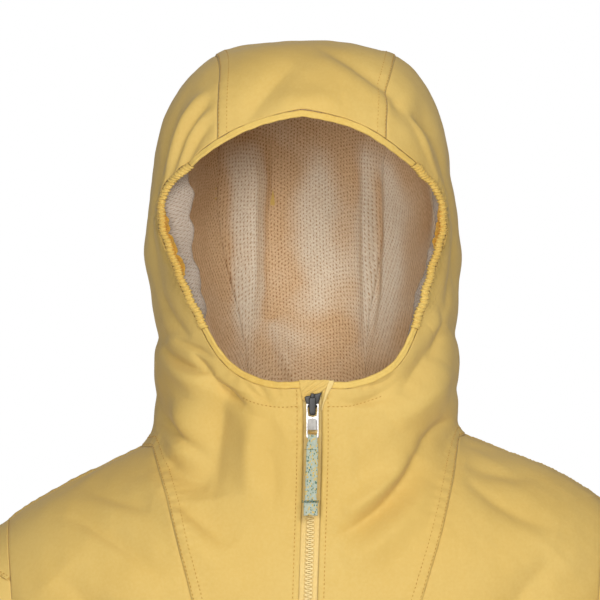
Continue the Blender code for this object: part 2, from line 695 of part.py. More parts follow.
# ---------------------------------------------------------------- zip
TAPE_DEPTH, TAPE_CLOTH, TAPE_HALF, CHAIN_HALF = 0.0021, 0.0008, 0.0155, 0.0026
SLIDER_Z, SLIDER_LENGTH = 0.0330, 0.0135
SLIDER_HALF_TOP, SLIDER_HALF_LOW = 0.0063, 0.0043
PULL_Z = 0.0310           # height of the pull's pivot
PULL_WIDTH, PULL_LENGTH, PULL_THICK = 0.0094, 0.0255, 0.0012
RAIL = 0.0011
PIVOT_RADIUS = 0.00065
PIVOT_OUT = 0.0042        # the pivot's distance in front of the shell
WEBBING_LENGTH, WEBBING_HALF, WEBBING_THICK = 0.0603, 0.0046, 0.0022


def zip_line(z, out=0.0):
    """A point on the centre line, out from the shell's face, as it hangs."""
    return stance(facing(0.0, z) + np.array((0.0, -out, 0.0)))


def zip_strip(name, half_width, low_z, high_z, depth, thickness, finish, rows=14):
    """A strip over the zip's centre line."""
    xs = np.linspace(-half_width, half_width, 3)
    grid = np.array([facing(xs, z) for z in np.linspace(low_z, high_z, rows)])
    wall(name, [grid], thickness, finish, depth=depth, folds=False)


def zip_tape(name, side, strip, turn):
    """Half of the zip's tape, laid under the front's own points and out to the chain."""
    panel = np.concatenate([side[1:, :2], strip[1:, :2]])
    edge, beside = panel[:, 0], panel[:, 1]
    share = ((TAPE_HALF - ZIP_OPENING) / (beside[:, 0] - edge[:, 0]))[:, None]
    normals = outward(edge), outward(beside)
    under = edge + share * (beside - edge + normals[1] * fold_relief(beside, normals[1])[:, None])
    inner = np.array([facing(CHAIN_HALF + SEAM_GAP, z) for z in edge[:, 2]])
    grid = np.stack([inner, edge, under], 1)
    normal = np.stack([outward(inner), normals[0], unit(normals[0] + share * (normals[1] - normals[0]))], 1)
    wall(name, [turn(grid)], TAPE_CLOTH, "tape", depth=TAPE_DEPTH, folds=False, normals=[turn(normal)])


def box(name, size, place, finish):
    """A plain block, its size and middle given."""
    bpy.ops.mesh.primitive_cube_add(size=1)
    obj = bpy.context.object
    obj.name = obj.data.name = name
    obj.data.transform(Matrix.Translation(place) @ Matrix.Diagonal((*size, 1)))
    for holder in obj.users_collection:
        holder.objects.unlink(obj)
    garment.objects.link(obj)
    obj.data.materials.append(material(finish))
    return obj


def join(target, *pieces):
    """A Boolean union of box-like pieces into the first, applied."""
    for piece in pieces:
        union = target.modifiers.new("union", "BOOLEAN")
        union.operation, union.object = "UNION", piece
    graph = bpy.context.evaluated_depsgraph_get()
    mesh = bpy.data.meshes.new_from_object(target.evaluated_get(graph))
    target.modifiers.clear()
    target.data = mesh
    for piece in pieces:
        bpy.data.objects.remove(piece)
    return target


def build_slider():
    """The slider's body, wider at the top, with a bridge that the pull's pivot runs under."""
    face = zip_line(SLIDER_Z)
    middle = (face[0], face[1] - 0.0010, SLIDER_Z)
    body = box("zip_slider", (2 * SLIDER_HALF_TOP, 0.0028, SLIDER_LENGTH), middle, "slider")
    for v in body.data.vertices:
        if v.co.z < SLIDER_Z:
            v.co.x = face[0] + (v.co.x - face[0]) * SLIDER_HALF_LOW / SLIDER_HALF_TOP
    front = face[1] - 0.0024
    width, post = 0.0048, 0.0022
    reach = PIVOT_OUT + PIVOT_RADIUS + 0.0017 - 0.0024
    post_size, post_y = (width, reach + 0.0004, post), front - reach / 2 + 0.0002
    top_post = box("post_top", post_size, (face[0], post_y, PULL_Z + 0.0052), "slider")
    low_post = box("post_low", post_size, (face[0], post_y, PULL_Z - 0.0044), "slider")
    bar = box("bridge", (width, 0.0012, 0.0118), (face[0], front - reach + 0.0006, PULL_Z + 0.0004), "slider")
    return join(body, top_post, low_post, bar)


def build_pull():
    """A metal ladder: pivot bar, two rails, a middle bar, a small plate and a lower bar."""
    x, y = zip_line(PULL_Z, PIVOT_OUT)[:2]
    rail_x = PULL_WIDTH / 2 - RAIL / 2
    low = PULL_Z - PULL_LENGTH + 0.001
    middle = PULL_Z + 0.001 - PULL_LENGTH / 2
    rail_size = (RAIL, PULL_THICK, PULL_LENGTH)
    pull = box("zip_pull", rail_size, (x - rail_x, y, middle), "metal")
    right = box("rail", rail_size, (x + rail_x, y, middle), "metal")
    bars = [
        box("middle_bar", (PULL_WIDTH - RAIL, PULL_THICK * 0.9, 0.0012), (x, y, PULL_Z - 0.0100), "metal"),
        box("lower_bar", (PULL_WIDTH - RAIL, 0.0010, 0.0010), (x, y, low + 0.0007), "metal"),
        box("plate", (PULL_WIDTH - RAIL, PULL_THICK * 0.5, 0.0088), (x, y, PULL_Z - 0.0149), "metal"),
    ]
    bpy.ops.mesh.primitive_cylinder_add(radius=PIVOT_RADIUS, depth=PULL_WIDTH - RAIL, vertices=12,
                                        location=(x, y, PULL_Z), rotation=(0, math.pi / 2, 0))
    pivot = bpy.context.object
    join(pull, right, *bars, pivot)
    pull.data.transform(Matrix.Translation((-x, -y, -PULL_Z)))
    pull.location = (x, y, PULL_Z)
    return pull


def build_webbing(pull):
    """Flat webbing looped through the pull's lower bar, folded up and sewn at its end."""
    bar_z = -PULL_LENGTH + 0.0017
    end_z = bar_z + 0.0018 - WEBBING_LENGTH
    half = WEBBING_THICK / 2
    outline = [(half + 0.0002, bar_z - 0.0004), (half * 0.8, bar_z + 0.0013), (0.0, bar_z + 0.0018),
               (-half * 0.8, bar_z + 0.0013), (-half - 0.0002, bar_z - 0.0004), (-half, bar_z - 0.0040),
               (-half, end_z + 0.0125), (-half - 0.0012, end_z + 0.0118), (-half - 0.0012, end_z + 0.0004),
               (-half, end_z), (half, end_z), (half, bar_z - 0.0040)]
    turns = np.linspace(0, 2 * math.pi, 10, endpoint=False)
    hole = [(0.0010 * math.cos(a), bar_z + 0.0010 * math.sin(a)) for a in turns]
    curve = bpy.data.curves.new("webbing", "CURVE")
    curve.dimensions, curve.fill_mode, curve.extrude = "2D", "BOTH", WEBBING_HALF
    for loop in (outline, hole):
        spline = curve.splines.new("POLY")
        spline.points.add(len(loop) - 1)
        for point, (a, b) in zip(spline.points, loop):
            point.co = (a, b, 0, 1)
        spline.use_cyclic_u = True
    guide = bpy.data.objects.new("webbing_guide", curve)
    garment.objects.link(guide)
    bpy.context.view_layer.update()
    graph = bpy.context.evaluated_depsgraph_get()
    mesh = bpy.data.meshes.new_from_object(guide.evaluated_get(graph))
    bpy.data.objects.remove(guide)
    bm = bmesh.new()
    bm.from_mesh(mesh)
    bmesh.ops.remove_doubles(bm, verts=bm.verts, dist=1e-6)
    for v in bm.verts:
        across, up, wide = v.co.x, v.co.y, v.co.z
        inner = PULL_WIDTH / 2 - RAIL - 0.0003
        share = inner / WEBBING_HALF if up > bar_z - 0.0035 else 1.0
        v.co = (wide * share, across, up)
    bmesh.ops.recalc_face_normals(bm, faces=bm.faces)
    bm.to_mesh(mesh)
    bm.free()
    webbing = add_object("zip_webbing", mesh, "webbing", smooth=False)
    webbing.parent = pull


def build_zip(side, strip):
    zip_tape("zip_tape_left", side, strip, lambda g: g)
    zip_tape("zip_tape_right", side, strip, mirrored)
    chain_top = SLIDER_Z - SLIDER_LENGTH / 2 - SEAM_GAP
    zip_strip("zip_chain", CHAIN_HALF, ZIP_BOTTOM_Z + 0.004, chain_top, 0.0006, 0.0022, "tape")
    stop_low, stop_high = ZIP_BOTTOM_Z - 0.0005, ZIP_BOTTOM_Z + 0.0036
    zip_strip("zip_stop", 0.0040, stop_low, stop_high, -0.0004, 0.0016, "tape", rows=2)
    build_slider()
    build_webbing(build_pull())


def build_garage():
    """The folded end of the guard behind the zip, turned over the slider's top."""
    zs = np.linspace(0.0415, 0.0500, 4)
    xs = np.linspace(-0.0062, 0.0062, 5)
    grid = np.array([facing(xs, z) for z in zs])
    wall("zip_garage", [grid], 0.0020, "shell", depth=-0.0010, folds=False)


# ---------------------------------------------------------------- build
def clear_scene():
    for obj in list(bpy.data.objects):
        bpy.data.objects.remove(obj, do_unlink=True)


clear_scene()
garment = bpy.data.collections.new("anorak pullover")
bpy.context.scene.collection.children.link(garment)
build_torso()
build_hem()
hood_side, front_strip = build_hood()
build_rolls()
build_sleeves()
build_zip(hood_side, front_strip)
build_garage()
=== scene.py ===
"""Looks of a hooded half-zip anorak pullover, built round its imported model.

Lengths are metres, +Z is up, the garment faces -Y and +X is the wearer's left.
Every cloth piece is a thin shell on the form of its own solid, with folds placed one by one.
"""

from __future__ import annotations

import logging
import math
from collections.abc import Callable, Sequence
from dataclasses import dataclass, field
from enum import Enum

import bmesh
import bpy
import numpy as np
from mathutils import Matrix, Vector


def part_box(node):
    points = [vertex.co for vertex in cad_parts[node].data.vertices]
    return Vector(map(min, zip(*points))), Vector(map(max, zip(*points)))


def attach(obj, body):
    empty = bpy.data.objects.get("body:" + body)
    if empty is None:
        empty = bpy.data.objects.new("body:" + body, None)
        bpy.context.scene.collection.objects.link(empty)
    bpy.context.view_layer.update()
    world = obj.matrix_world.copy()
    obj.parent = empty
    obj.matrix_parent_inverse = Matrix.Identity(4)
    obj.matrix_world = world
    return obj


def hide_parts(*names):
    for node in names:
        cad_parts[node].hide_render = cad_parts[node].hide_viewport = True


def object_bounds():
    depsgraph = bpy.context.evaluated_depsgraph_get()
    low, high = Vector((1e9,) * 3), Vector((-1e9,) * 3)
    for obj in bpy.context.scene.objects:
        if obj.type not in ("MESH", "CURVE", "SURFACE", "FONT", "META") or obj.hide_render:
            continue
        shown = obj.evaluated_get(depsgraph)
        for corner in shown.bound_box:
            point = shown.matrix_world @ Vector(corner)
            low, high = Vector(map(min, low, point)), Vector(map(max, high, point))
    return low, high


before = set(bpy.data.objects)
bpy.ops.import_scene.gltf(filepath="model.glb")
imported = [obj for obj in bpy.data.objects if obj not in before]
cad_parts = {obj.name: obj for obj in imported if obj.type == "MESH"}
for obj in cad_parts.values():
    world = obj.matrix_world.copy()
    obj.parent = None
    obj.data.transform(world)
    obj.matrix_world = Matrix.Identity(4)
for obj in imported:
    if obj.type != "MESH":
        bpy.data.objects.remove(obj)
CAD_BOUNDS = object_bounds()

log = logging.getLogger("anorak")
Array = np.ndarray
Pair = tuple[float, float]
Column = tuple[float, ...]
Colour = tuple[float, float, float, float]
Run = tuple[Array, Array]
Piece = bpy.types.Object
Material = bpy.types.Material
Socket = bpy.types.NodeSocket

FOLD_DEPTH = 2.15           # how much deeper the folds hang than their table says
CROWN_SETTLE = 0.0042       # how far the crown's cloth sinks under its own weight
GARMENT = "garment"
PULL = "pull"
TURN = 2 * math.pi
MIRROR = np.array((-1.0, 1.0, 1.0))
SIDES = (("left", 1), ("right", -1))


# ---------------------------------------------------------------- small numeric helpers
def smooth_column(at: Array | float, where: Sequence[float], values: Sequence[float]) -> Array:
    """Read a table's column as a smooth curve, level past its ends.

    Args:
        at: Where to read it.
        where: The rows' positions, rising.
        values: The column's values.

    Returns:
        The values at each place.
    """
    at = np.clip(np.asarray(at, float), where[0], where[-1])
    where, values = np.asarray(where, float), np.asarray(values, float)
    slope = np.gradient(values, where)
    slope[0] = slope[-1] = 0.0
    i = np.clip(np.searchsorted(where, at) - 1, 0, len(where) - 2)
    step = where[i + 1] - where[i]
    t = (at - where[i]) / step
    return (
        values[i] * (1 + 2 * t) * (1 - t) ** 2
        + values[i + 1] * t * t * (3 - 2 * t)
        + step * (slope[i] * t * (1 - t) ** 2 - slope[i + 1] * t * t * (1 - t))
    )


def ease(t: Array) -> Array:
    """Ease from 0 to 1, clipped at both ends."""
    t = np.clip(t, 0, 1)
    return t * t * (3 - 2 * t)


def smooth_max(a: Array, b: Array, radius: float) -> Array:
    """The larger of two fields, rounded where they meet."""
    h = np.maximum(radius - np.abs(a - b), 0) / radius
    return np.maximum(a, b) + h * h * radius / 4


def unit(v: Array) -> Array:
    """Scale vectors to length one."""
    return v / np.maximum(np.linalg.norm(v, axis=-1, keepdims=True), 1e-12)


def bisect(low: Array, high: Array, keep_low: Callable[[Array], Array]) -> Array:
    """Narrow many intervals at once.

    Args:
        low: The lower ends.
        high: The upper ends.
        keep_low: Says where the root lies below a trial value.

    Returns:
        The middle of each last interval.
    """
    low, high = np.array(low, float), np.array(high, float)
    for _ in range(36):
        middle = (low + high) / 2
        below = keep_low(middle)
        low, high = np.where(below, low, middle), np.where(below, middle, high)
    return (low + high) / 2


def lengths_along(points: Array, axis: int) -> Array:
    """Distance walked over a grid of points along one of its directions."""
    steps = np.linalg.norm(np.diff(points, axis=axis), axis=-1)
    start = np.zeros_like(np.take(steps, [0], axis=axis))
    return np.cumsum(np.concatenate([start, steps], axis=axis), axis=axis)


def wander(p: Array, size: float, seed: float) -> Array:
    """Smooth, uneven waves through space.

    Args:
        p: The points.
        size: The waves' length.
        seed: Any number; each gives other waves.

    Returns:
        Values of about -1 to 1.
    """
    total = np.zeros(p.shape[:-1])
    for k in range(6):
        turn = seed * 1.7 + k * 2.399
        lean = math.sin(seed * 3.1 + k * 1.3)
        direction = np.array((math.cos(turn), math.sin(turn) * 0.8, lean))
        total += np.sin(p @ direction * (TURN / size) * (0.7 + 0.17 * k) + seed * 5 + k * k)
    return total / 3.2


# ---------------------------------------------------------------- the garment's form
@dataclass(frozen=True)
class OvalStack:
    """Ovals at rising heights: half width, and depth before and behind the shoulder line."""

    z: Column
    half_width: Column
    front: Column
    back: Column
    power: float

    def excess(self, p: Array) -> Array:
        """How far outside the ovals each point is, roughly in metres."""
        x, y, z = p[..., 0], p[..., 1], p[..., 2]
        depth = np.where(y < 0, smooth_column(z, self.z, self.front), smooth_column(z, self.z, self.back))
        across = np.abs(x / smooth_column(z, self.z, self.half_width)) ** self.power
        return ((across + np.abs(y / depth) ** self.power) ** (1 / self.power) - 1) * 0.12


@dataclass(frozen=True)
class Curve2:
    """A table of two columns, read as a smooth curve."""

    at: Column
    value: Column

    def __call__(self, at: Array | float) -> Array:
        """The curve's value at each place."""
        return smooth_column(at, self.at, self.value)


@dataclass(frozen=True)
class GarmentForm:
    """The hollow form that a general wearer gives the garment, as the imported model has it."""

    torso: OvalStack = OvalStack(
        z=(-0.66, -0.5, -0.365, -0.235, -0.12, -0.04, 0.06),
        half_width=(0.226, 0.234, 0.235, 0.237, 0.247, 0.25, 0.25),
        front=(0.118, 0.125, 0.128, 0.131, 0.131, 0.125, 0.116),
        back=(0.11, 0.113, 0.117, 0.124, 0.126, 0.113, 0.096),
        power=2.4,
    )
    hood: OvalStack = OvalStack(
        z=(-0.2, -0.08, 0.0, 0.04, 0.08, 0.15),
        half_width=(0.1, 0.112, 0.118, 0.119, 0.118, 0.1215),
        front=(0.104, 0.12, 0.131, 0.138, 0.14, 0.14),
        back=(0.055, 0.066, 0.082, 0.1, 0.122, 0.136),
        power=2.3,
    )
    ear_z: float = 0.15
    dome_height: float = 0.163
    dome_power: float = 3.1
    shoulder_top_z: float = 0.056
    shoulder_slope: float = 0.447
    shoulder_round: float = 4.5
    shoulder_fillet: float = 0.03
    neck_fillet: float = 0.013
    sway: Curve2 = Curve2(
        (-0.36, -0.12, 0.03, 0.07, 0.17, 0.25, 0.32), (0.0, 0.0042, 0.0075, 0.0066, 0.0, 0.0, 0.006)
    )
    sway_behind: float = 0.45
    shoulder_tilt: float = 0.042
    climb: float = 0.14

    def dome(self, p: Array) -> Array:
        """How far outside the hood's dome each point is."""
        x, y, z = p[..., 0], p[..., 1], p[..., 2]
        half, front, back = self.hood.half_width[-1], self.hood.front[-1], self.hood.back[-1]
        power = self.hood.power
        flat = np.abs(x / half) ** power + np.abs(y / np.where(y < 0, front, back)) ** power
        rise = np.maximum(z - self.ear_z, 0) / self.dome_height
        return ((flat ** (self.dome_power / power) + rise**self.dome_power) ** (1 / self.dome_power) - 1) * 0.12

    def outside(self, p: Array) -> Array:
        """Below zero inside the form and above zero outside it."""
        x, y, z = p[..., 0], p[..., 1], p[..., 2]
        roof = 0.9 * (z - self.shoulder_top_z + self.shoulder_slope * np.abs(x) + self.shoulder_round * y * y)
        torso = smooth_max(self.torso.excess(p), roof, self.shoulder_fillet)
        hood = np.where(z > self.ear_z, self.dome(p), self.hood.excess(p))
        return -smooth_max(-torso, -hood, self.neck_fillet)

    def hit(self, origin: Array, direction: Array) -> Array:
        """Where rays from inside the form leave it."""
        origin, direction = np.broadcast_arrays(np.asarray(origin, float), unit(np.asarray(direction, float)))
        reach = bisect(
            np.zeros(origin.shape[:-1]),
            np.full(origin.shape[:-1], 0.4),
            lambda d: self.outside(origin + direction * d[..., None]) > 0,
        )
        return origin + direction * reach[..., None]

    def around(self, angle: Array, height: Array) -> Array:
        """Points at angles round the body, 0 in front, and heights, arc lengths above the ears."""
        angle, height = np.broadcast_arrays(np.asarray(angle, float), np.asarray(height, float))
        up = np.maximum(height - self.ear_z, 0) / self.climb
        origin = np.stack([0 * height, 0 * height, np.minimum(height, self.ear_z)], -1)
        ray = np.stack([np.sin(angle) * np.cos(up), -np.cos(angle) * np.cos(up), np.sin(up)], -1)
        return self.hit(origin, ray)

    def address(self, p: Array) -> Run:
        """The angle and height at which around() gives a point of the surface."""
        up = np.arctan2(np.maximum(p[..., 2] - self.ear_z, 0), np.hypot(p[..., 0], p[..., 1]))
        height = np.where(p[..., 2] > self.ear_z, self.ear_z + up * self.climb, p[..., 2])
        return np.arctan2(p[..., 0], -p[..., 1]), height

    def facing(self, x: Array, z: Array, side: int = -1) -> Array:
        """The surface's points at x and z, in front (side -1) or behind (side 1)."""
        x, z = np.broadcast_arrays(np.asarray(x, float), np.asarray(z, float))
        return self.hit(np.stack([x, 0 * x, z], -1), np.array((0.0, side, 0.0)))

    def normal(self, p: Array) -> Array:
        """The form's outward normals."""
        e = 1e-5
        slopes = [self.outside(p + e * axis) - self.outside(p - e * axis) for axis in np.eye(3)]
        return unit(np.stack(slopes, -1))

    def stance(self, p: Array) -> Array:
        """Sway and tilt points to the way the garment hangs."""
        p = np.array(p, float)
        behind = self.sway_behind * ease((p[..., 2] + 0.01) / 0.05)
        frontness = behind + (1 - behind) * np.clip(-p[..., 1] / 0.12, 0, 1)
        fade = ease((0.05 - p[..., 2]) / 0.07) * ease((p[..., 2] + 0.45) / 0.3)
        p[..., 2] += self.shoulder_tilt * p[..., 0] * fade
        p[..., 0] += self.sway(p[..., 2]) * frontness
        return p


FORM = GarmentForm()


# ---------------------------------------------------------------- folds
class Face(Enum):
    """The side that a fold is drawn on: its outward direction and its drawing's two axes."""

    FRONT = ((0.0, -1.0, 0.0), (0, 2))
    BACK = ((0.0, 1.0, 0.0), (0, 2))
    LEFT = ((1.0, 0.0, 0.0), (1, 2))
    RIGHT = ((-1.0, 0.0, 0.0), (1, 2))
    TOP = ((0.0, 0.0, 1.0), (0, 1))


@dataclass(frozen=True)
class Fold:
    """A soft ridge (height above 0) or trough that runs from start by bend to end."""

    face: Face
    start: Pair
    bend: Pair
    end: Pair
    width: float
    height: float
    lean: float = 0.0

    def lift(self, p: Array, normal: Array) -> Array:
        """How far this fold lifts the cloth at each point."""
        towards, axes = self.face.value
        flat = p[..., list(axes)]
        t = np.linspace(0, 1, 25)[:, None]
        line = (1 - t) ** 2 * np.array(self.start) + 2 * t * (1 - t) * np.array(self.bend)
        line = line + t * t * np.array(self.end)
        near = self.width * 3.2
        facing = (normal @ np.array(towards)) > 0.02
        inside = ((flat > line.min(0) - near) & (flat < line.max(0) + near)).all(-1) & facing
        lift = np.zeros(p.shape[:-1])
        if not inside.any():
            return lift
        flat = flat[inside]
        best, share, side = np.full(len(flat), 1.0), np.zeros(len(flat)), np.zeros(len(flat))
        for k, (start, run) in enumerate(zip(line[:-1], np.diff(line, axis=0))):
            away = flat - start
            along = np.clip(away @ run / (run @ run), 0, 1)
            gap = away - along[:, None] * run
            far = np.hypot(gap[:, 0], gap[:, 1])
            closer = far < best
            best = np.where(closer, far, best)
            share = np.where(closer, (k + along) / (len(line) - 1), share)
            side = np.where(closer, np.sign(run[0] * gap[:, 1] - run[1] * gap[:, 0]), side)
        ends = np.sin(np.pi * np.clip(share, 0.015, 0.985)) ** 0.6
        turned = np.clip((normal[inside] @ np.array(towards)) * 2.2, 0, 1)
        crisp = 1.5 if self.height < 0 else 1.9
        profile = np.exp(-((best / (self.width * (1 + self.lean * side))) ** crisp))
        lift[inside] = self.height * ends * turned * profile
        return lift


def folds(face: Face, rows: Sequence[Sequence[float]]) -> list[Fold]:
    """Make folds of one face from a table's rows, in millimetres.

    Args:
        face: The side that they are drawn on.
        rows: Start, bend and end, width, height, and the lean where there is one.

    Returns:
        The folds.
    """
    made = []
    for row in rows:
        size = [value / 1000 for value in row[:8]]
        made.append(Fold(face, (size[0], size[1]), (size[2], size[3]), (size[4], size[5]), *size[6:], *row[8:]))
    return made


# Millimetres: start, bend, end, width, height, and where it isn't even, how one-sided its slopes are.
SHELL_FOLDS: list[Fold] = [
    *folds(Face.FRONT, (
        # under the hood's rim, on the wearer's right
        (-113, 74, -104, 58, -79, 54, 3.4, -3.4, 0.3), (-103, 78, -90, 74, -74, 66, 2.6, -1.8, 0.2),
        (-90, 69, -81, 60, -77, 52, 3.4, -2), (-114, 66, -96, 48, -80, 44, 7.5, 2.4),
        (-79, 55, -70, 40, -51, 30, 4.2, -3.4, -0.3), (-66, 47, -80, 12, -74, -38, 15, -6, 0.1),
        (-98, 36, -102, 10, -92, -30, 10, 2.6), (-44, 24, -50, 0, -46, -40, 8.5, 2.2),
        (-120, 28, -105, 14, -82, -10, 4, -3, 0.3), (-118, 14, -108, 12, -98, 4, 3.6, -2),
        (-106, -8, -98, -22, -78, -26, 8, -3.4), (-118, -14, -100, -52, -66, -92, 14, 3),
        (-112, -30, -88, -52, -58, -74, 8, -2.6, 0.3), (-50, 46, -40, 34, -28, 30, 2.6, -1.1, 0.3),
        (-44, 50, -37, 41, -33, 34, 2.2, -0.8), (-30, 47, -26, 41, -24, 36, 2, -0.6),
        (-30, 26, -20, 12, -16, -4, 5, 0.7), (-34, 0, -26, -16, -30, -50, 6, -0.9),
        # shoulder and chest, on the wearer's right
        (-176, -24, -145, -38, -118, -44, 6, -1.6, 0.2), (-185, -46, -150, -60, -108, -96, 7.5, -2.2, 0.3),
        (-190, -90, -150, -130, -112, -190, 18, -3.4), (-215, -130, -180, -190, -160, -260, 20, 4),
        # under the chin and over the chest, on the wearer's left
        (20, -70, 66, -46, 86, -4, 8.5, -4.4, -0.3), (82, -10, 96, 10, 112, 16, 7.5, -3.4),
        (22, -52, 50, -40, 76, -12, 10, 3.6), (24, -90, 60, -74, 92, -30, 13, 3), (30, 30, 52, 34, 70, 52, 7, -2.2),
        (110, 86, 88, 66, 66, 36, 8, -2.8), (108, 58, 92, 36, 60, 14, 12, 3.4), (118, -4, 136, -10, 160, -16, 5, -2),
        (120, -18, 142, -30, 176, -34, 6, -1.8), (118, -28, 140, -52, 190, -74, 9, -2.2, 0.2),
        (190, -90, 150, -130, 116, -200, 19, -3.6), (215, -130, 180, -190, 165, -270, 20, 4),
        (18, 34, 34, 27, 62, 36, 3.4, -1, 0.3), (30, 46, 48, 40, 64, 54, 4, -1.6), (20, 8, 30, -10, 26, -40, 6, 0.7),
        # crown, over the rim
        (4, 308, 60, 285, 78, 256, 7.5, -3, 0.3), (70, 262, 90, 248, 112, 238, 7, -2.6),
        (-46, 240, -30, 268, -10, 292, 10, -2.2), (-20, 262, 4, 256, 30, 262, 10, 1.8),
        # sides of the face opening
        (-74, 269, -100, 248, -107, 186, 4.2, 2.4), (-72, 261, -97, 240, -103, 188, 3.6, -2.2, 0.2),
        (-70, 253, -93, 235, -100, 190, 3.8, 2), (-70, 243, -89, 226, -96, 196, 3.6, -1.6),
        (-88, 278, -110, 245, -115, 200, 6, -1.8), (-116, 175, -117, 130, -108, 92, 6, -2.4),
        (-112, 112, -104, 90, -90, 80, 5, -2), (94, 262, 112, 230, 116, 190, 6, -2.2),
        (118, 168, 120, 128, 101, 94, 6, -3.4, 0.3), (116, 118, 108, 98, 92, 86, 7, 2.2),
        (100, 106, 106, 82, 92, 62, 4, -1.4), (78, 262, 98, 236, 108, 196, 4.2, 1.8),
        (82, 252, 98, 228, 105, 200, 3.4, -1.4),
        # below, where the body hangs free
        (-60, -330, -90, -430, -70, -600, 30, 6), (-150, -300, -130, -440, -150, -600, 28, -6),
        (50, -370, 90, -480, 75, -610, 30, 5.5), (170, -290, 140, -430, 155, -600, 28, -6),
        (-210, -240, -160, -290, -90, -300, 16, -4, 0.2), (212, -240, 160, -280, 100, -290, 16, -4, 0.2),
    )),
    *folds(Face.BACK, (
        (100, -110, 40, -180, 10, -300, 26, 6), (-110, -90, -50, -170, -40, -300, 24, 5.5),
        (-30, -200, -60, -330, -110, -440, 30, -6), (170, -210, 110, -300, 120, -480, 26, 6),
        (60, -330, 40, -450, 60, -600, 28, -5.5), (-150, -330, -160, -470, -120, -600, 30, 6.5),
        (-180, -120, -150, -170, -150, -250, 18, -4), (180, -100, 150, -150, 160, -230, 18, -4),
        (-70, 0, -30, -24, 20, -20, 10, -3), (75, 6, 40, -30, 60, -80, 12, -3.2),
        (-60, 90, -20, 50, 40, 46, 12, -3.4, 0.2), (70, 110, 30, 75, -30, 78, 11, 2.8),
        (-80, 180, -50, 130, -60, 60, 14, 2.6),
    )),
    *folds(Face.LEFT, (
        (-80, 100, -30, 70, 60, 88, 9.5, -3.2, 0.3), (-100, 50, -40, 30, 40, 50, 11, -2.9),
        (-60, 160, -10, 130, 70, 150, 14, 2.4), (-60, 235, -50, 180, -40, 110, 10, -2.1),
        (10, 260, 40, 190, 50, 120, 14, 2.4), (30, -210, 0, -330, 20, -560, 20, 4.8),
        (-50, -240, -30, -360, -45, -580, 20, -4),
    )),
    *folds(Face.RIGHT, (
        (-85, 88, -30, 66, 50, 92, 9.5, -3.5, 0.3), (-100, 40, -40, 22, 50, 46, 11, -2.9),
        (-70, 170, -20, 135, 60, 140, 14, 2.4), (-65, 240, -58, 190, -46, 120, 9, -2.1),
        (20, 250, 50, 190, 40, 110, 14, 2.4), (20, -210, 10, -330, 30, -560, 20, 4.8),
        (-50, -240, -40, -360, -50, -580, 20, -4),
    )),
    *folds(Face.TOP, (
        (-60, 70, -10, 30, 70, 50, 13, -1.9), (-80, -10, -20, -40, 50, -20, 12, 1.4),
        (-150, 10, -170, -20, -200, -30, 10, -1.4),
    )),
]


def cloth_lift(p: Array, normal: Array, rumple: float = 0.0007) -> Array:
    """How far all the shell's folds and its rumples lift the cloth.

    Args:
        p: Points on the form.
        normal: The form's normals there.
        rumple: The height of the faint waves all over.

    Returns:
        The lift along the normals.
    """
    lift = np.zeros(p.shape[:-1])
    for fold in SHELL_FOLDS:
        lift += (FOLD_DEPTH if fold.face is Face.FRONT else 1.0) * fold.lift(p, normal)
    lift -= CROWN_SETTLE * ease((p[..., 2] - 0.16) / 0.055)
    lift += rumple * wander(p, 0.075, 1.0) + 0.35 * rumple * wander(p, 0.026, 4.0)
    free = ease(np.abs(p[..., 0]) / 0.02 + 0.2)
    return lift * (free + (1 - free) * ease((p[..., 2] - 0.06) / 0.03))


# ---------------------------------------------------------------- skins: grids of cloth
@dataclass
class Skin:
    """A grid of points on a cloth's outer face, with its normals and its cloth coordinates."""

    points: Array
    normals: Array
    uv: Array
    # A lining's share of its pale tone: how far it hangs off the shell, faded out low in the hood as painted shade.
    stand_off_and_shade: Array | None = None

    def posed(self, places: Array | None = None) -> Array:
        """Its points as the garment hangs."""
        return FORM.stance(self.points if places is None else places)

    def mirrored(self) -> Skin:
        """The same grid on the wearer's other side, before folds."""
        return Skin(self.points * MIRROR, self.normals * MIRROR, self.uv * (-1, 1), self.stand_off_and_shade)


def new_object(name: str, mesh: bpy.types.Mesh) -> Piece:
    """Put a mesh in the scene as a piece of its own."""
    piece = bpy.data.objects.new(name, mesh)
    bpy.context.scene.collection.objects.link(piece)
    return piece


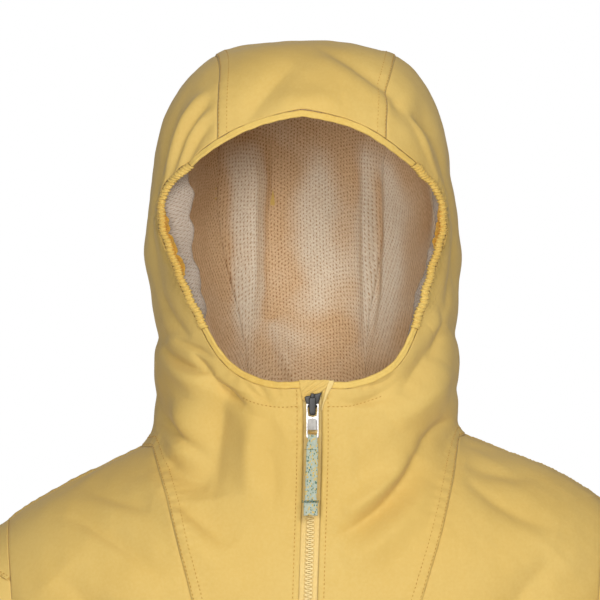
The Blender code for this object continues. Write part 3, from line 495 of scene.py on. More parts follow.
def sew(name: str, skins: Sequence[Skin], thickness: float, finish: Material) -> Piece:
    """Make a closed, thin shell from grids that are joined where they meet.

    Args:
        name: The piece's name.
        skins: The grids of its outer face.
        thickness: The cloth's thickness, laid inwards.
        finish: Its material.

    Returns:
        The new piece.
    """
    points, quads, uvs, offs, first = [], [], [], [], 0
    for skin in skins:
        rows, columns = skin.points.shape[:2]
        index = first + np.arange(rows * columns).reshape(rows, columns)
        corners = (index[:-1, :-1], index[:-1, 1:], index[1:, 1:], index[1:, :-1])
        quad = np.stack(corners, -1).reshape(-1, 4)
        posed = skin.posed().reshape(-1, 3)
        middle = len(quad) // 2
        a, b, c = (posed[quad[middle, k] - first] for k in (0, 1, 3))
        if np.dot(np.cross(b - a, c - a), skin.normals.reshape(-1, 3)[quad[middle, 0] - first]) < 0:
            quad = quad[:, ::-1]
        points.append(posed)
        quads.append(quad)
        uvs.append(skin.uv.reshape(-1, 2))
        offs.append(np.zeros(rows * columns) if skin.stand_off_and_shade is None else skin.stand_off_and_shade.reshape(-1))
        first += rows * columns
    points, quads, uvs, offs = (np.concatenate(part) for part in (points, quads, uvs, offs))
    mesh = bpy.data.meshes.new(name)
    mesh.from_pydata(points.tolist(), [], quads.tolist())
    layer = mesh.uv_layers.new(name="cloth")
    layer.data.foreach_set("uv", uvs[quads.reshape(-1)].astype(np.float32).reshape(-1))
    mesh.attributes.new("stand_off_and_shade", "FLOAT", "POINT").data.foreach_set("value", offs.astype(np.float32))
    bm = bmesh.new()
    bm.from_mesh(mesh)
    bmesh.ops.remove_doubles(bm, verts=bm.verts, dist=1.2e-5)
    bmesh.ops.dissolve_degenerate(bm, dist=5e-6, edges=bm.edges)
    bm.to_mesh(mesh)
    bm.free()
    piece = new_object(name, mesh)
    mesh.materials.append(finish)
    mesh.shade_smooth()
    wall = piece.modifiers.new("wall", "SOLIDIFY")
    wall.thickness, wall.offset = thickness, -1.0
    wall.use_quality_normals = True
    apply_modifiers(piece)
    return piece


def apply_modifiers(piece: Piece) -> None:
    """Apply all of a piece's modifiers, in order."""
    bpy.ops.object.select_all(action="DESELECT")
    bpy.context.view_layer.objects.active = piece
    piece.select_set(True)
    for modifier in list(piece.modifiers):
        bpy.ops.object.modifier_apply(modifier=modifier.name)


def tailor(name: str, skins: Sequence[Skin], thickness: float, finish: Material, *nodes: str, slot: str = "shell",
           held: str = "draped", cut: Sequence[Skin] | None = None, abreast: int = 1) -> None:
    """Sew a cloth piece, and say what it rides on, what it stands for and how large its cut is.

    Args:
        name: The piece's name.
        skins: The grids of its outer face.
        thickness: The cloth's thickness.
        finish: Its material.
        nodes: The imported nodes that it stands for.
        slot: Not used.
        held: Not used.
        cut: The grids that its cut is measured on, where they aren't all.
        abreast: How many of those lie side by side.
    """
    piece = sew(name, skins, thickness, finish)
    area, width, length = 0.0, 0.0, 0.0
    for grid in cut or skins:
        across = np.diff(grid.points, axis=1)[:-1]
        down = np.diff(grid.points, axis=0)[:, :-1]
        area += float(np.linalg.norm(np.cross(across, down), axis=-1).sum())
        width = max(width, float(lengths_along(grid.points, 1)[:, -1].max()))
        length = length + float(lengths_along(grid.points, 0)[-1].mean())
    width, length = width * abreast, length / abreast
    width, length = max(width, area / length * 1.02), max(length, area / width * 1.02)
    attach(piece, GARMENT)
    if nodes:
        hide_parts(*nodes)
    log.info("%s: cut %.3f x %.3f m, %.4f m2", name, width, length, area)


# ---------------------------------------------------------------- stitching
@dataclass(frozen=True)
class Thread:
    """A sewing thread and the length of its stitches."""

    pitch: float = 0.0032
    length: float = 0.0017
    radius: float = 0.00034
    sides: int = 5

    def stitches(self, lines: Sequence[Run], sink: float = 0.0) -> Run:
        """Lay small round-ended stitches along lines on the cloth.

        Args:
            lines: Points and normals of each line, as the garment hangs.
            sink: How deep the thread's middle lies below the face.

        Returns:
            Vertices and triangular or four-sided faces, padded with -1.
        """
        ring = np.linspace(0, TURN, self.sides, endpoint=False)
        stations = np.array(((-0.5, 0.25), (-0.32, 0.95), (0.32, 0.95), (0.5, 0.25)))
        vertices, faces, first = [], [], 0
        for points, normals in lines:
            walked = lengths_along(points[None], 1)[0]
            count = int(walked[-1] / self.pitch)
            for k in range(count):
                middle = (k + 0.5) * self.pitch
                ends = np.array([[np.interp(middle + s * self.length, walked, points[:, c]) for c in range(3)]
                                 for s in (-0.5, 0.5)])
                normal = unit(np.array([np.interp(middle, walked, normals[:, c]) for c in range(3)]))
                along = unit(ends[1] - ends[0])
                across = np.cross(along, normal)
                centre = ends.mean(0) + normal * (self.radius * 0.35 - sink)
                for s, size in stations:
                    place = centre + along * s * self.length
                    for angle in ring:
                        out = across * math.cos(angle) + normal * math.sin(angle)
                        vertices.append(place + out * self.radius * size)
                n = self.sides
                for band in range(len(stations) - 1):
                    for i in range(n):
                        j = (i + 1) % n
                        faces.append([first + band * n + i, first + band * n + j,
                                      first + (band + 1) * n + j, first + (band + 1) * n + i])
                faces.append([first + i for i in reversed(range(n))])
                faces.append([first + (len(stations) - 1) * n + i for i in range(n)])
                first += len(stations) * n
        return vertices, faces

    def sew_rows(self, name: str, lines: Sequence[Run], finish: Material,
                 slot: str = "shell", body: str = GARMENT) -> Piece:
        """Make one piece of all the stitches along some lines.

        Args:
            name: The piece's name.
            lines: Points and normals of each line, before the garment's sway.
            finish: The thread's material.
            slot: Not used.
            body: The body that it rides on.

        Returns:
            The piece.
        """
        hung = [(FORM.stance(points), normals) for points, normals in lines if len(points) > 2]
        vertices, faces = self.stitches(hung)
        mesh = bpy.data.meshes.new(name)
        mesh.from_pydata([tuple(v) for v in vertices], [], faces)
        recalc = bmesh.new()
        recalc.from_mesh(mesh)
        bmesh.ops.recalc_face_normals(recalc, faces=recalc.faces)
        recalc.to_mesh(mesh)
        recalc.free()
        mesh.shade_smooth()
        mesh.materials.append(finish)
        piece = new_object(name, mesh)
        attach(piece, body)
        log.info("%s: %d stitches", name, len(faces) // (3 * self.sides + 2))
        return piece


def seam_band(distance: Array, along: Array, width: float, seed: float, pucker: float = 0.00022) -> Array:
    """The relief of a felled seam: a band with two sunken rows of stitches, slightly puckered.

    Args:
        distance: How far each point is from the seam.
        along: How far along the seam it is.
        width: The band's width.
        seed: Varies the puckers.
        pucker: Their height.

    Returns:
        The lift.
    """
    rise, fall = ease(distance / 0.0009), ease((width + 0.001 - distance) / 0.0012)
    band = 0.00058 * rise * fall
    rows = sum(np.exp(-(((distance - row) / 0.00055) ** 2)) for row in (0.0016, width - 0.0012))
    wave = np.sin(along * TURN / 0.0085 + seed + 1.4 * np.sin(along * TURN / 0.041 + seed))
    reach = np.exp(-((np.maximum(distance - width * 0.5, 0) / (width * 0.9)) ** 2))
    return band - 0.00026 * rows + pucker * wave * reach * rise


def seam_valley(distance: Array, depth: float = 0.00032, width: float = 0.0016) -> Array:
    """The narrow valley on the side of a seam that isn't folded."""
    return -depth * np.exp(-((distance / width) ** 2))


def spread(count: int, dense: Sequence[tuple[float, float, int]]) -> Array:
    """Shares from 0 to 1 with narrow stretches that get points of their own.

    Args:
        count: How many even points there are.
        dense: The narrow stretches: their first and last share and their points.

    Returns:
        Rising shares.
    """
    shares = [np.linspace(0, 1, count)]
    for low, high, n in dense:
        shares.append(np.linspace(low, high, n))
    every = np.unique(np.clip(np.concatenate(shares), 0, 1).round(5))
    keep = np.concatenate([[True], np.diff(every) > 0.25 / (count * 3)])
    keep[-1] = True
    return every[keep]


# ---------------------------------------------------------------- seams and the pattern's cut lines
@dataclass(frozen=True)
class Seam:
    """A seam's run over the form, as closely spaced points."""

    points: Array

    def tangents(self) -> Array:
        """The run's directions."""
        return unit(np.gradient(self.points, axis=0))

    def near(self, p: Array, reach: float = 0.03) -> Run:
        """How far points are from the seam, and how far along it.

        Args:
            p: The points.
            reach: Points further off than this read as 1 m away.

        Returns:
            Distances, and lengths along the seam.
        """
        flat = p.reshape(-1, 3)
        distance, along = np.full(len(flat), 1.0), np.zeros(len(flat))
        low, high = self.points.min(0) - reach, self.points.max(0) + reach
        chosen = np.flatnonzero(((flat > low) & (flat < high)).all(1))
        walked, tangent = lengths_along(self.points[None], 1)[0], self.tangents()
        for part in np.array_split(chosen, max(1, len(chosen) // 1500)):
            if not len(part):
                continue
            gap = flat[part][:, None] - self.points[None]
            nearest = (gap * gap).sum(-1).argmin(1)
            away = gap[np.arange(len(part)), nearest]
            run = (away * tangent[nearest]).sum(-1)
            inner = (nearest > 0) & (nearest < len(self.points) - 1)
            sideways = np.linalg.norm(away - tangent[nearest] * run[:, None], axis=-1)
            distance[part] = np.where(inner, sideways, np.linalg.norm(away, axis=-1))
            along[part] = walked[nearest] + np.where(inner, run, 0)
        return distance.reshape(p.shape[:-1]), along.reshape(p.shape[:-1])

    def offset(self, distance: float, side: int) -> Array:
        """The run moved sideways over the form."""
        across = unit(np.cross(FORM.normal(self.points), self.tangents())) * side
        return settle(self.points + across * distance)

    def mirrored(self) -> Seam:
        """The same seam on the wearer's other side."""
        return Seam(self.points * MIRROR)


def settle(p: Array) -> Array:
    """Move points that are near the form onto it."""
    e = 1e-5
    for _ in range(3):
        slope = np.stack([FORM.outside(p + e * a) - FORM.outside(p - e * a) for a in np.eye(3)], -1) / (2 * e)
        p = p - slope * (FORM.outside(p) / np.maximum((slope * slope).sum(-1), 1e-9))[..., None]
    return p


def resampled(points: Array, step: float) -> Array:
    """Points at even steps along a run."""
    walked = lengths_along(points[None], 1)[0]
    at = np.linspace(0, walked[-1], max(3, int(walked[-1] / step)))
    return np.stack([np.interp(at, walked, points[:, k]) for k in range(3)], -1)


@dataclass(frozen=True)
class Pattern:
    """Where the garment's pieces are cut, for its left half."""

    hem_z: float = -0.64
    casing: float = 0.025
    slot_half: float = 0.007
    zip_bottom_z: float = -0.352
    v_point_z: float = -0.365
    v_point_half: float = 0.014
    underarm_z: float = -0.235
    roll: float = 0.005
    rim_gap: float = 0.0003
    over_share: float = 0.68
    corner_share: float = 5 / 11
    reach: float = 2.5
    v_z: Column = (-0.365, -0.28, -0.2, -0.115, -0.08, -0.04, -0.02, 0.0)
    v_x: Column = (0.014, 0.0395, 0.0625, 0.0863, 0.096, 0.1065, 0.1125, 0.118)
    armhole: Curve2 = Curve2(
        (-0.235, -0.215, -0.19, -0.16, -0.125, -0.095, -0.05),
        (0.237, 0.225, 0.22, 0.2195, 0.222, 0.2255, 0.229),
    )
    centre_half: Curve2 = Curve2((0.0, 0.3, 0.6, 1.0), (0.066, 0.073, 0.07, 0.046))
    rim_x: Column = (0, 0.026, 0.048, 0.064, 0.0775, 0.0925, 0.1052, 0.1, 0.07, 0.036, 0)
    rim_z: Column = (0.0495, 0.048, 0.054, 0.066, 0.09, 0.128, 0.168, 0.196, 0.222, 0.24, 0.247)

    def rim(self, t: Array, out: float) -> Array:
        """The face opening's edge moved out, seen from the front: chin at 0, top at 1."""
        s = np.linspace(0, 1, len(self.rim_x))

        def curve(at: Array) -> Array:
            """The edge itself."""
            return np.stack([smooth_column(at, s, self.rim_x), smooth_column(at, s, self.rim_z)], -1)

        d = 0.002
        along = unit(curve(np.clip(t + d, 0, 1)) - curve(np.clip(t - d, 0, 1)))
        return curve(t) + out * np.stack([along[..., 1], -along[..., 0]], -1)

    def rim_share(self, x: Array, low: float, high: float, rising: bool) -> Array:
        """Where on the rim the opening is x wide."""
        x = np.asarray(x, float)
        sign = 1 if rising else -1
        return bisect(np.full(x.shape, low), np.full(x.shape, high),
                      lambda t: sign * (self.rim(t, self.edge)[..., 0] - x) > 0)

    @property
    def edge(self) -> float:
        """How far the hood's cloth starts from the opening's edge."""
        return self.roll + self.rim_gap

    @property
    def zip_share(self) -> float:
        """Where the zip's edge meets the rim."""
        return float(self.rim_share(np.array(self.slot_half), 0.0, 0.15, True))

    @property
    def corner(self) -> float:
        """Where the seam of the hood's centre meets the rim."""
        return float(self.rim_share(np.array(self.centre_half.value[0]), 0.6, 1.0, False))

    @property
    def nape_angle(self) -> float:
        """Half the angle that the hood's centre takes at the neck line."""
        half = self.centre_half.value[-1]
        return float(np.arctan2(half, FORM.facing(half, 0.0, 1)[1]))

    @property
    def shoulder_z(self) -> float:
        """Where the armhole crosses the shoulder's ridge."""
        found = bisect(np.array(-0.075), np.array(-0.03),
                       lambda z: FORM.around(math.pi / 2, z)[..., 0] <= self.armhole(z))
        return float(found)

    def side_angle(self, z: Array, side: int) -> Array:
        """The angle of a body piece's outer edge at each height."""
        p = FORM.facing(self.armhole(z), z, side)
        arm = (z > self.underarm_z) & (z < self.shoulder_z)
        return np.where(arm, np.arctan2(p[..., 0], -p[..., 1]), math.pi / 2)

    def v_angle(self, z: Array) -> Array:
        """The angle of the front seam at each height."""
        x = np.where(z > self.v_point_z, np.interp(z, self.v_z, self.v_x), self.v_point_half)
        p = FORM.facing(x, z)
        return np.arctan2(p[..., 0], -p[..., 1])


CUT = Pattern()


class Lines:
    """The seams' runs on the garment's left half."""

    def __init__(self) -> None:
        """Lay all the runs."""
        z = np.linspace(CUT.v_point_z, -0.0005, 420)
        v = FORM.around(CUT.v_angle(z), z)
        neck = FORM.around(np.linspace(float(CUT.v_angle(np.array(0.0))), math.pi - CUT.nape_angle, 160), 0.0)
        self.v_seam = Seam(resampled(np.concatenate([v, neck]), 0.0012))
        back = FORM.around(np.linspace(math.pi - CUT.nape_angle, math.pi + CUT.nape_angle, 60), 0.0)
        self.nape = Seam(resampled(back, 0.0012))
        top = CUT.rim(np.array(CUT.zip_share), CUT.edge)[1]
        z = np.linspace(CUT.zip_bottom_z, float(top), 420)
        self.slot = Seam(resampled(FORM.facing(CUT.slot_half, z), 0.0012))
        t = np.linspace(CUT.zip_share, 1.0, 620)
        edge = CUT.rim(t, CUT.edge)
        self.rim = Seam(resampled(FORM.facing(edge[:, 0], edge[:, 1]), 0.001))
        zs = np.linspace(CUT.underarm_z + 0.0005, CUT.shoulder_z - 0.0002, 140)
        front, behind = (FORM.facing(CUT.armhole(zs), zs, side) for side in (-1, 1))
        self.armhole = Seam(resampled(np.concatenate([front, behind[::-1]]), 0.0015))
        ridge = FORM.around(math.pi / 2, np.linspace(CUT.shoulder_z, 0.0, 120))
        self.shoulder = Seam(resampled(ridge, 0.0015))
        flank = FORM.around(math.pi / 2, np.linspace(CUT.hem_z + CUT.casing, CUT.underarm_z, 120))
        self.flank = Seam(resampled(flank, 0.0025))
        hem = FORM.around(np.linspace(0, TURN, 700), CUT.hem_z + CUT.casing)
        self.hem = Seam(resampled(hem, 0.002))
        self.crown: Seam | None = None


@dataclass(frozen=True)
class EdgeWork:
    """What a seam does to the cloth beside it: a felled band, or a plain valley."""

    seam: Seam
    width: float = 0.0
    pucker: float = 0.00024
    seed: float = 0.0

    def lift(self, p: Array) -> Array:
        """How far it lifts the cloth at each point."""
        distance, along = self.seam.near(p)
        if self.width:
            return seam_band(distance, along, self.width, self.seed, self.pucker)
        wave = np.sin(along * TURN / 0.0095 + self.seed) * np.exp(-((distance / 0.006) ** 2))
        return seam_valley(distance) + self.pucker * 0.6 * wave * ease(distance / 0.001)


@dataclass(frozen=True)
class SlotWork:
    """The turned edge beside the zip, held by one row of stitches."""

    seam: Seam
    row: float = 0.0046
    seed: float = 0.0

    def lift(self, p: Array) -> Array:
        """How far it lifts the cloth at each point."""
        distance, along = self.seam.near(p)
        edge = 0.00035 * ease((self.row + 0.0012 - distance) / 0.0012) - 0.00045 * np.exp(
            -((distance / 0.0006) ** 2))
        groove = -0.0003 * np.exp(-(((distance - self.row) / 0.0006) ** 2))
        wave = np.sin(along * TURN / 0.0105 + self.seed + 1.8 * np.sin(along * 61 + self.seed))
        return edge + groove + 0.0003 * wave * np.exp(-(((distance - self.row) / 0.0042) ** 2))


@dataclass(frozen=True)
class Gathers:
    """Small folds that a gathered stretch of the rim sends out into the cloth."""

    seam: Seam
    first: float
    last: float
    height: float = 0.001
    reach: float = 0.0105
    pitch: float = 0.0056
    seed: float = 0.0

    def lift(self, p: Array) -> Array:
        """How far they lift the cloth at each point."""
        distance, along = self.seam.near(p, 0.045)
        total = lengths_along(self.seam.points[None], 1)[0][-1]
        share = along / total
        inside = ease((share - self.first) / 0.03) * ease((self.last - share) / 0.03)
        turn = along * TURN / self.pitch + 2.2 * np.sin(along * 95 + self.seed) + self.seed
        reach = self.reach * (1 + 0.45 * np.sin(along * 210 + self.seed))
        held = ease(distance / 0.0022)
        return self.height * inside * held * np.sin(turn) * np.exp(-((distance / reach) ** 1.5))


Works = Sequence[EdgeWork | SlotWork | Gathers]


def lifted(p: Array, normal: Array, works: Works) -> Array:
    """Points of a panel raised by its folds and by the seams round it."""
    lift = cloth_lift(p, normal)
    for work in works:
        lift = lift + work.lift(p)
    return p + normal * lift[..., None]


def row_beside(seam: Seam, distance: float, side: int,
               works: Works) -> Run:
    """A line for stitches beside a seam, on the lifted cloth."""
    p = seam.offset(distance, side)
    normal = FORM.normal(p)
    return lifted(p, normal, works), normal


def cloth_uv(points: Array) -> Array:
    """Cloth coordinates in metres, from a grid's middle column and first row."""
    across, down = lengths_along(points, 1), lengths_along(points, 0)
    return np.stack([across - across[:, -1:] / 2, -down], -1)


def skin(points: Array, works: Works) -> Skin:
    """A panel's grid: its folds and seams on the form's own normals."""
    normal = FORM.normal(points)
    return Skin(lifted(points, normal, works), normal, cloth_uv(points))


def raised(points: Array, normal: Array, lift: Array, loose_and_lit: Array | None = None) -> Skin:
    """A panel's grid raised from the form by a lift of its own."""
    return Skin(points + normal * lift[..., None], normal, cloth_uv(points), loose_and_lit)


def sided(points: Array, side: int) -> Array:
    """A grid on the wearer's left (side 1), or on the right (side -1)."""
    return points if side > 0 else points * MIRROR


# ---------------------------------------------------------------- finishes
class Sheet:
    """A node tree under construction."""

    def __init__(self, tree: bpy.types.NodeTree) -> None:
        """Start with a tree."""
        self.tree = tree

    def node(self, kind: str, **settings: object) -> bpy.types.Node:
        """Add a node, with its own settings."""
        made = self.tree.nodes.new(kind)
        for name, value in settings.items():
            setattr(made, name, value)
        return made

    def put(self, socket: Socket, value: object) -> None:
        """Link a socket, or set it."""
        if isinstance(value, Socket):
            self.tree.links.new(value, socket)
        else:
            socket.default_value = value

    def math(self, operation: str, *values: object) -> Socket:
        """A Math node's result."""
        made = self.node("ShaderNodeMath", operation=operation)
        for socket, value in zip(made.inputs, values):
            self.put(socket, value)
        return made.outputs[0]

    def mix(self, share: object, a: object, b: object) -> Socket:
        """Mix two colours."""
        made = self.node("ShaderNodeMix", data_type="RGBA")
        for index, value in ((0, share), (6, a), (7, b)):
            self.put(made.inputs[index], value)
        return made.outputs[2]

    def noise(self, vector: object, scale: float, detail: float = 2.0) -> Socket:
        """A Noise texture's value."""
        made = self.node("ShaderNodeTexNoise")
        self.put(made.inputs["Vector"], vector)
        made.inputs["Scale"].default_value, made.inputs["Detail"].default_value = scale, detail
        return made.outputs[0]

    def ramp(self, value: object, low: float, high: float) -> Socket:
        """Stretch a value to run from 0 to 1."""
        made = self.node("ShaderNodeMapRange", interpolation_type="SMOOTHSTEP")
        for name, number in (("Value", value), ("From Min", low), ("From Max", high)):
            self.put(made.inputs[name], number)
        return made.outputs[0]

    def bump(self, height: object, strength: float, distance: float, normal: object = None) -> object:
        """A Bump node's normal."""
        made = self.node("ShaderNodeBump")
        self.put(made.inputs["Height"], height)
        made.inputs["Strength"].default_value, made.inputs["Distance"].default_value = strength, distance
        if normal is not None:
            self.put(made.inputs["Normal"], normal)
        return made.outputs[0]


def new_group(name: str, ins: Sequence[tuple[str, str, object]], outs: Sequence[tuple[str, str]]) -> tuple:
    """Start a shader node group.

    Args:
        name: Its name.
        ins: Name, socket type and value of each input.
        outs: Name and socket type of each output.

    Returns:
        The group, its sheet, its inputs' node and its outputs' node.
    """
    group = bpy.data.node_groups.new(name, "ShaderNodeTree")
    for label, kind, value in ins:
        made = group.interface.new_socket(label, in_out="INPUT", socket_type=kind)
        if value is not None:
            made.default_value = value
    for label, kind in outs:
        group.interface.new_socket(label, in_out="OUTPUT", socket_type=kind)
    sheet = Sheet(group)
    return group, sheet, sheet.node("NodeGroupInput"), sheet.node("NodeGroupOutput")


def plain_weave_group() -> bpy.types.NodeTree:
    """A plain weave: warp over weft, with uneven yarns."""
    group, s, given, out = new_group(
        "plain weave",
        [("Vector", "NodeSocketVector", None), ("Yarn", "NodeSocketFloat", 0.0006)],
        [("Height", "NodeSocketFloat")])
    split = s.node("ShaderNodeSeparateXYZ")
    s.put(split.inputs[0], given.outputs["Vector"])
    waves = [s.math("SINE", s.math("MULTIPLY", s.math("DIVIDE", axis, given.outputs["Yarn"]), TURN))
             for axis in split.outputs[:2]]
    cross = s.math("MULTIPLY", waves[0], waves[1])
    slub = s.noise(given.outputs["Vector"], 900.0, 3.0)
    s.put(out.inputs["Height"], s.math("ADD", s.math("MULTIPLY", cross, 0.5), slub))
    return group


def shade_group() -> bpy.types.NodeTree:
    """Slow and fine unevenness of dye and wear."""
    group, s, given, out = new_group(
        "dye", [("Vector", "NodeSocketVector", None), ("Light", "NodeSocketColor", (1, 1, 1, 1)),
                ("Deep", "NodeSocketColor", (0, 0, 0, 1))], [("Colour", "NodeSocketColor"),
                                                            ("Patch", "NodeSocketFloat")])
    slow, fine = s.noise(given.outputs["Vector"], 9.0, 3.0), s.noise(given.outputs["Vector"], 420.0, 4.0)
    patch = s.math("ADD", s.math("MULTIPLY", slow, 0.65), s.math("MULTIPLY", fine, 0.35))
    s.put(out.inputs["Colour"], s.mix(s.ramp(patch, 0.36, 0.64), given.outputs["Deep"], given.outputs["Light"]))
    s.put(out.inputs["Patch"], patch)
    return group


class Groups:
    """The shader node groups that the finishes share."""

    def __init__(self) -> None:
        """Build each once."""
        self.weave = plain_weave_group()
        self.dye = shade_group()


def group_node(s: Sheet, group: bpy.types.NodeTree, **values: object) -> bpy.types.Node:
    """Place a shared group with its own values."""
    made = s.node("ShaderNodeGroup", node_tree=group)
    for name, value in values.items():
        s.put(made.inputs[name], value)
    return made


def new_material(name: str) -> tuple[Material, Sheet, bpy.types.Node]:
    """A material with its sheet and its Principled shader."""
    made = bpy.data.materials.new(name)
    made.use_nodes = True
    return made, Sheet(made.node_tree), made.node_tree.nodes["Principled BSDF"]


@dataclass(frozen=True)
class ClothFinish:
    """Woven cloth: dye, yarns and a soft crumple."""

    name: str
    light: Colour
    deep: Colour
    yarn: float = 0.0006
    roughness: float = 0.72
    sheen: float = 0.1
    crumple: float = 0.3

    def make(self, groups: Groups) -> Material:
        """Build the material."""
        made, s, shader = new_material(self.name)
        places = s.node("ShaderNodeTexCoord")
        dye = group_node(s, groups.dye, Vector=places.outputs["Object"], Light=self.light, Deep=self.deep)
        weave = group_node(s, groups.weave, Vector=places.outputs["UV"], Yarn=self.yarn)
        s.put(shader.inputs["Base Color"], dye.outputs["Colour"])
        rough = s.math("ADD", s.math("MULTIPLY", dye.outputs["Patch"], 0.1), self.roughness - 0.05)
        s.put(shader.inputs["Roughness"], rough)
        crumple = s.noise(places.outputs["Object"], 190.0, 3.0)
        soft = s.bump(crumple, self.crumple, 0.0006)
        s.put(shader.inputs["Normal"], s.bump(weave.outputs["Height"], 0.18, 0.00012, soft))
        shader.inputs["Sheen Weight"].default_value = self.sheen
        shader.inputs["Sheen Roughness"].default_value = 0.45
        shader.inputs["Specular IOR Level"].default_value = 0.28
        return made


@dataclass(frozen=True)
class MeshFinish:
    """Warp-knitted mesh: staggered small holes, with a shell-tinted tone where it lies on the shell; that tone also
    carries painted shade, and so do the holes.
    """

    name: str
    # Pale tone where the mesh hangs free high in the hood, where it is lit; the next is its tone where it lies on the
    # shell: the shell's tint, and painted shade low in the hood.
    loose_and_lit: Colour
    close_tint_and_shade: Colour
    # Colours seen in the holes: the cloth behind in painted shade, paler where the mesh hangs free and deeper where it
    # lies on the shell and low in the hood.
    hole: Colour
    hole_close_and_shaded: Colour
    across: float = 0.0027
    down: float = 0.0033

    def make(self, groups: Groups) -> Material:
        """Build the material."""
        made, s, shader = new_material(self.name)
        places = s.node("ShaderNodeTexCoord")
        split = s.node("ShaderNodeSeparateXYZ")
        s.put(split.inputs[0], places.outputs["UV"])
        u, v = s.math("DIVIDE", split.outputs[0], self.across), s.math("DIVIDE", split.outputs[1], self.down)
        odd = s.math("MULTIPLY", s.math("PINGPONG", s.math("FLOOR", u), 1.0), 0.5)
        jitter = s.math("MULTIPLY", s.math("SUBTRACT", s.noise(places.outputs["Object"], 240.0), 0.5), 0.55)
        du = s.math("ADD", s.math("SUBTRACT", s.math("FRACT", u), 0.5), jitter)
        dv = s.math("SUBTRACT", s.math("FRACT", s.math("ADD", s.math("ADD", v, odd), jitter)), 0.5)
        far = s.math("SQRT", s.math("ADD", s.math("MULTIPLY", du, du),
                                    s.math("MULTIPLY", s.math("MULTIPLY", dv, dv), 0.6)))
        uneven = s.math("MULTIPLY", s.math("SUBTRACT", s.noise(places.outputs["Object"], 420.0), 0.5), 0.34)
        hole = s.math("SUBTRACT", 1.0, s.ramp(s.math("ADD", far, uneven), 0.09, 0.25))
        off = s.node("ShaderNodeAttribute", attribute_name="stand_off_and_shade").outputs["Fac"]
        patch = s.math("MULTIPLY", s.math("SUBTRACT", s.noise(places.outputs["Object"], 22.0, 3.0), 0.5), 0.9)
        # Share of the pale tone, with random patches; low where the mesh lies on the shell and, as painted shade, low
        # in the hood.
        loose_and_lit = s.math("ADD", off, patch)
        loose_and_lit.node.use_clamp = True
        ground = s.mix(loose_and_lit, self.close_tint_and_shade, self.loose_and_lit)
        # The holes' colour: painted shade over the cloth behind them.
        dark = s.mix(loose_and_lit, self.hole_close_and_shaded, self.hole)
        speck = s.ramp(s.noise(places.outputs["UV"], 620.0, 1.0), 0.42, 0.62)
        ground = s.mix(s.math("MULTIPLY", speck, 0.3), ground, dark)
        s.put(shader.inputs["Base Color"], s.mix(s.math("MULTIPLY", hole, 0.78), ground, dark))
        rib = s.math("COSINE", s.math("MULTIPLY", du, TURN))
        knit = group_node(s, groups.weave, Vector=places.outputs["UV"], Yarn=0.0009)
        height = s.math("SUBTRACT", s.math("MULTIPLY", rib, -0.25), hole)
        height = s.math("ADD", height, s.math("MULTIPLY", knit.outputs["Height"], 0.3))
        s.put(shader.inputs["Normal"], s.bump(height, 0.55, 0.0005))
        shader.inputs["Roughness"].default_value = 0.85
        shader.inputs["Specular IOR Level"].default_value = 0.2
        return made


@dataclass(frozen=True)
class HardFinish:
    """Enamel or bright metal, with fine scratches and worn highlights."""

    name: str
    colour: Colour
    worn: Colour
    metallic: float
    roughness: float

    def make(self, groups: Groups) -> Material:
        """Build the material."""
        made, s, shader = new_material(self.name)
        places = s.node("ShaderNodeTexCoord")
        dye = group_node(s, groups.dye, Vector=places.outputs["Object"], Light=self.worn, Deep=self.colour)
        s.put(shader.inputs["Base Color"], dye.outputs["Colour"])
        scratch = s.noise(places.outputs["Object"], 2600.0, 4.0)
        s.put(shader.inputs["Roughness"], s.math("ADD", s.math("MULTIPLY", scratch, 0.16), self.roughness - 0.08))
        s.put(shader.inputs["Normal"], s.bump(scratch, 0.15, 0.00004))
        shader.inputs["Metallic"].default_value = self.metallic
        return made


@dataclass(frozen=True)
class WebbingFinish:
    """Mint webbing with scattered yellow picks and dark dashes."""

    name: str = "pull_webbing"
    ground: Colour = (0.39, 0.45, 0.36, 1)
    pale: Colour = (0.52, 0.56, 0.47, 1)
    pick: Colour = (0.66, 0.46, 0.1, 1)
    dash: Colour = (0.1, 0.19, 0.12, 1)

    def make(self, groups: Groups) -> Material:
        """Build the material."""
        made, s, shader = new_material(self.name)
        places = s.node("ShaderNodeTexCoord")
        dye = group_node(s, groups.dye, Vector=places.outputs["Object"], Light=self.pale, Deep=self.ground)
        stretch = s.node("ShaderNodeMapping")
        s.put(stretch.inputs["Vector"], places.outputs["Object"])
        stretch.inputs["Scale"].default_value = (1150.0, 250.0, 640.0)
        cells = s.node("ShaderNodeTexVoronoi", feature="F1")
        s.put(cells.inputs["Vector"], stretch.outputs[0])
        cells.inputs["Scale"].default_value = 1.0
        draw = s.node("ShaderNodeSeparateColor")
        s.put(draw.inputs[0], cells.outputs["Color"])
        near = s.math("LESS_THAN", cells.outputs["Distance"], 0.52)
        yellow = s.math("MULTIPLY", s.math("GREATER_THAN", draw.outputs[0], 0.72), near)
        dark = s.math("MULTIPLY", s.math("LESS_THAN", draw.outputs[0], 0.22), near)
        colour = s.mix(yellow, dye.outputs["Colour"], self.pick)
        s.put(shader.inputs["Base Color"], s.mix(dark, colour, self.dash))
        weave = group_node(s, groups.weave, Vector=places.outputs["UV"], Yarn=0.001)
        s.put(shader.inputs["Normal"], s.bump(weave.outputs["Height"], 0.6, 0.0003))
        shader.inputs["Roughness"].default_value = 0.8
        return made


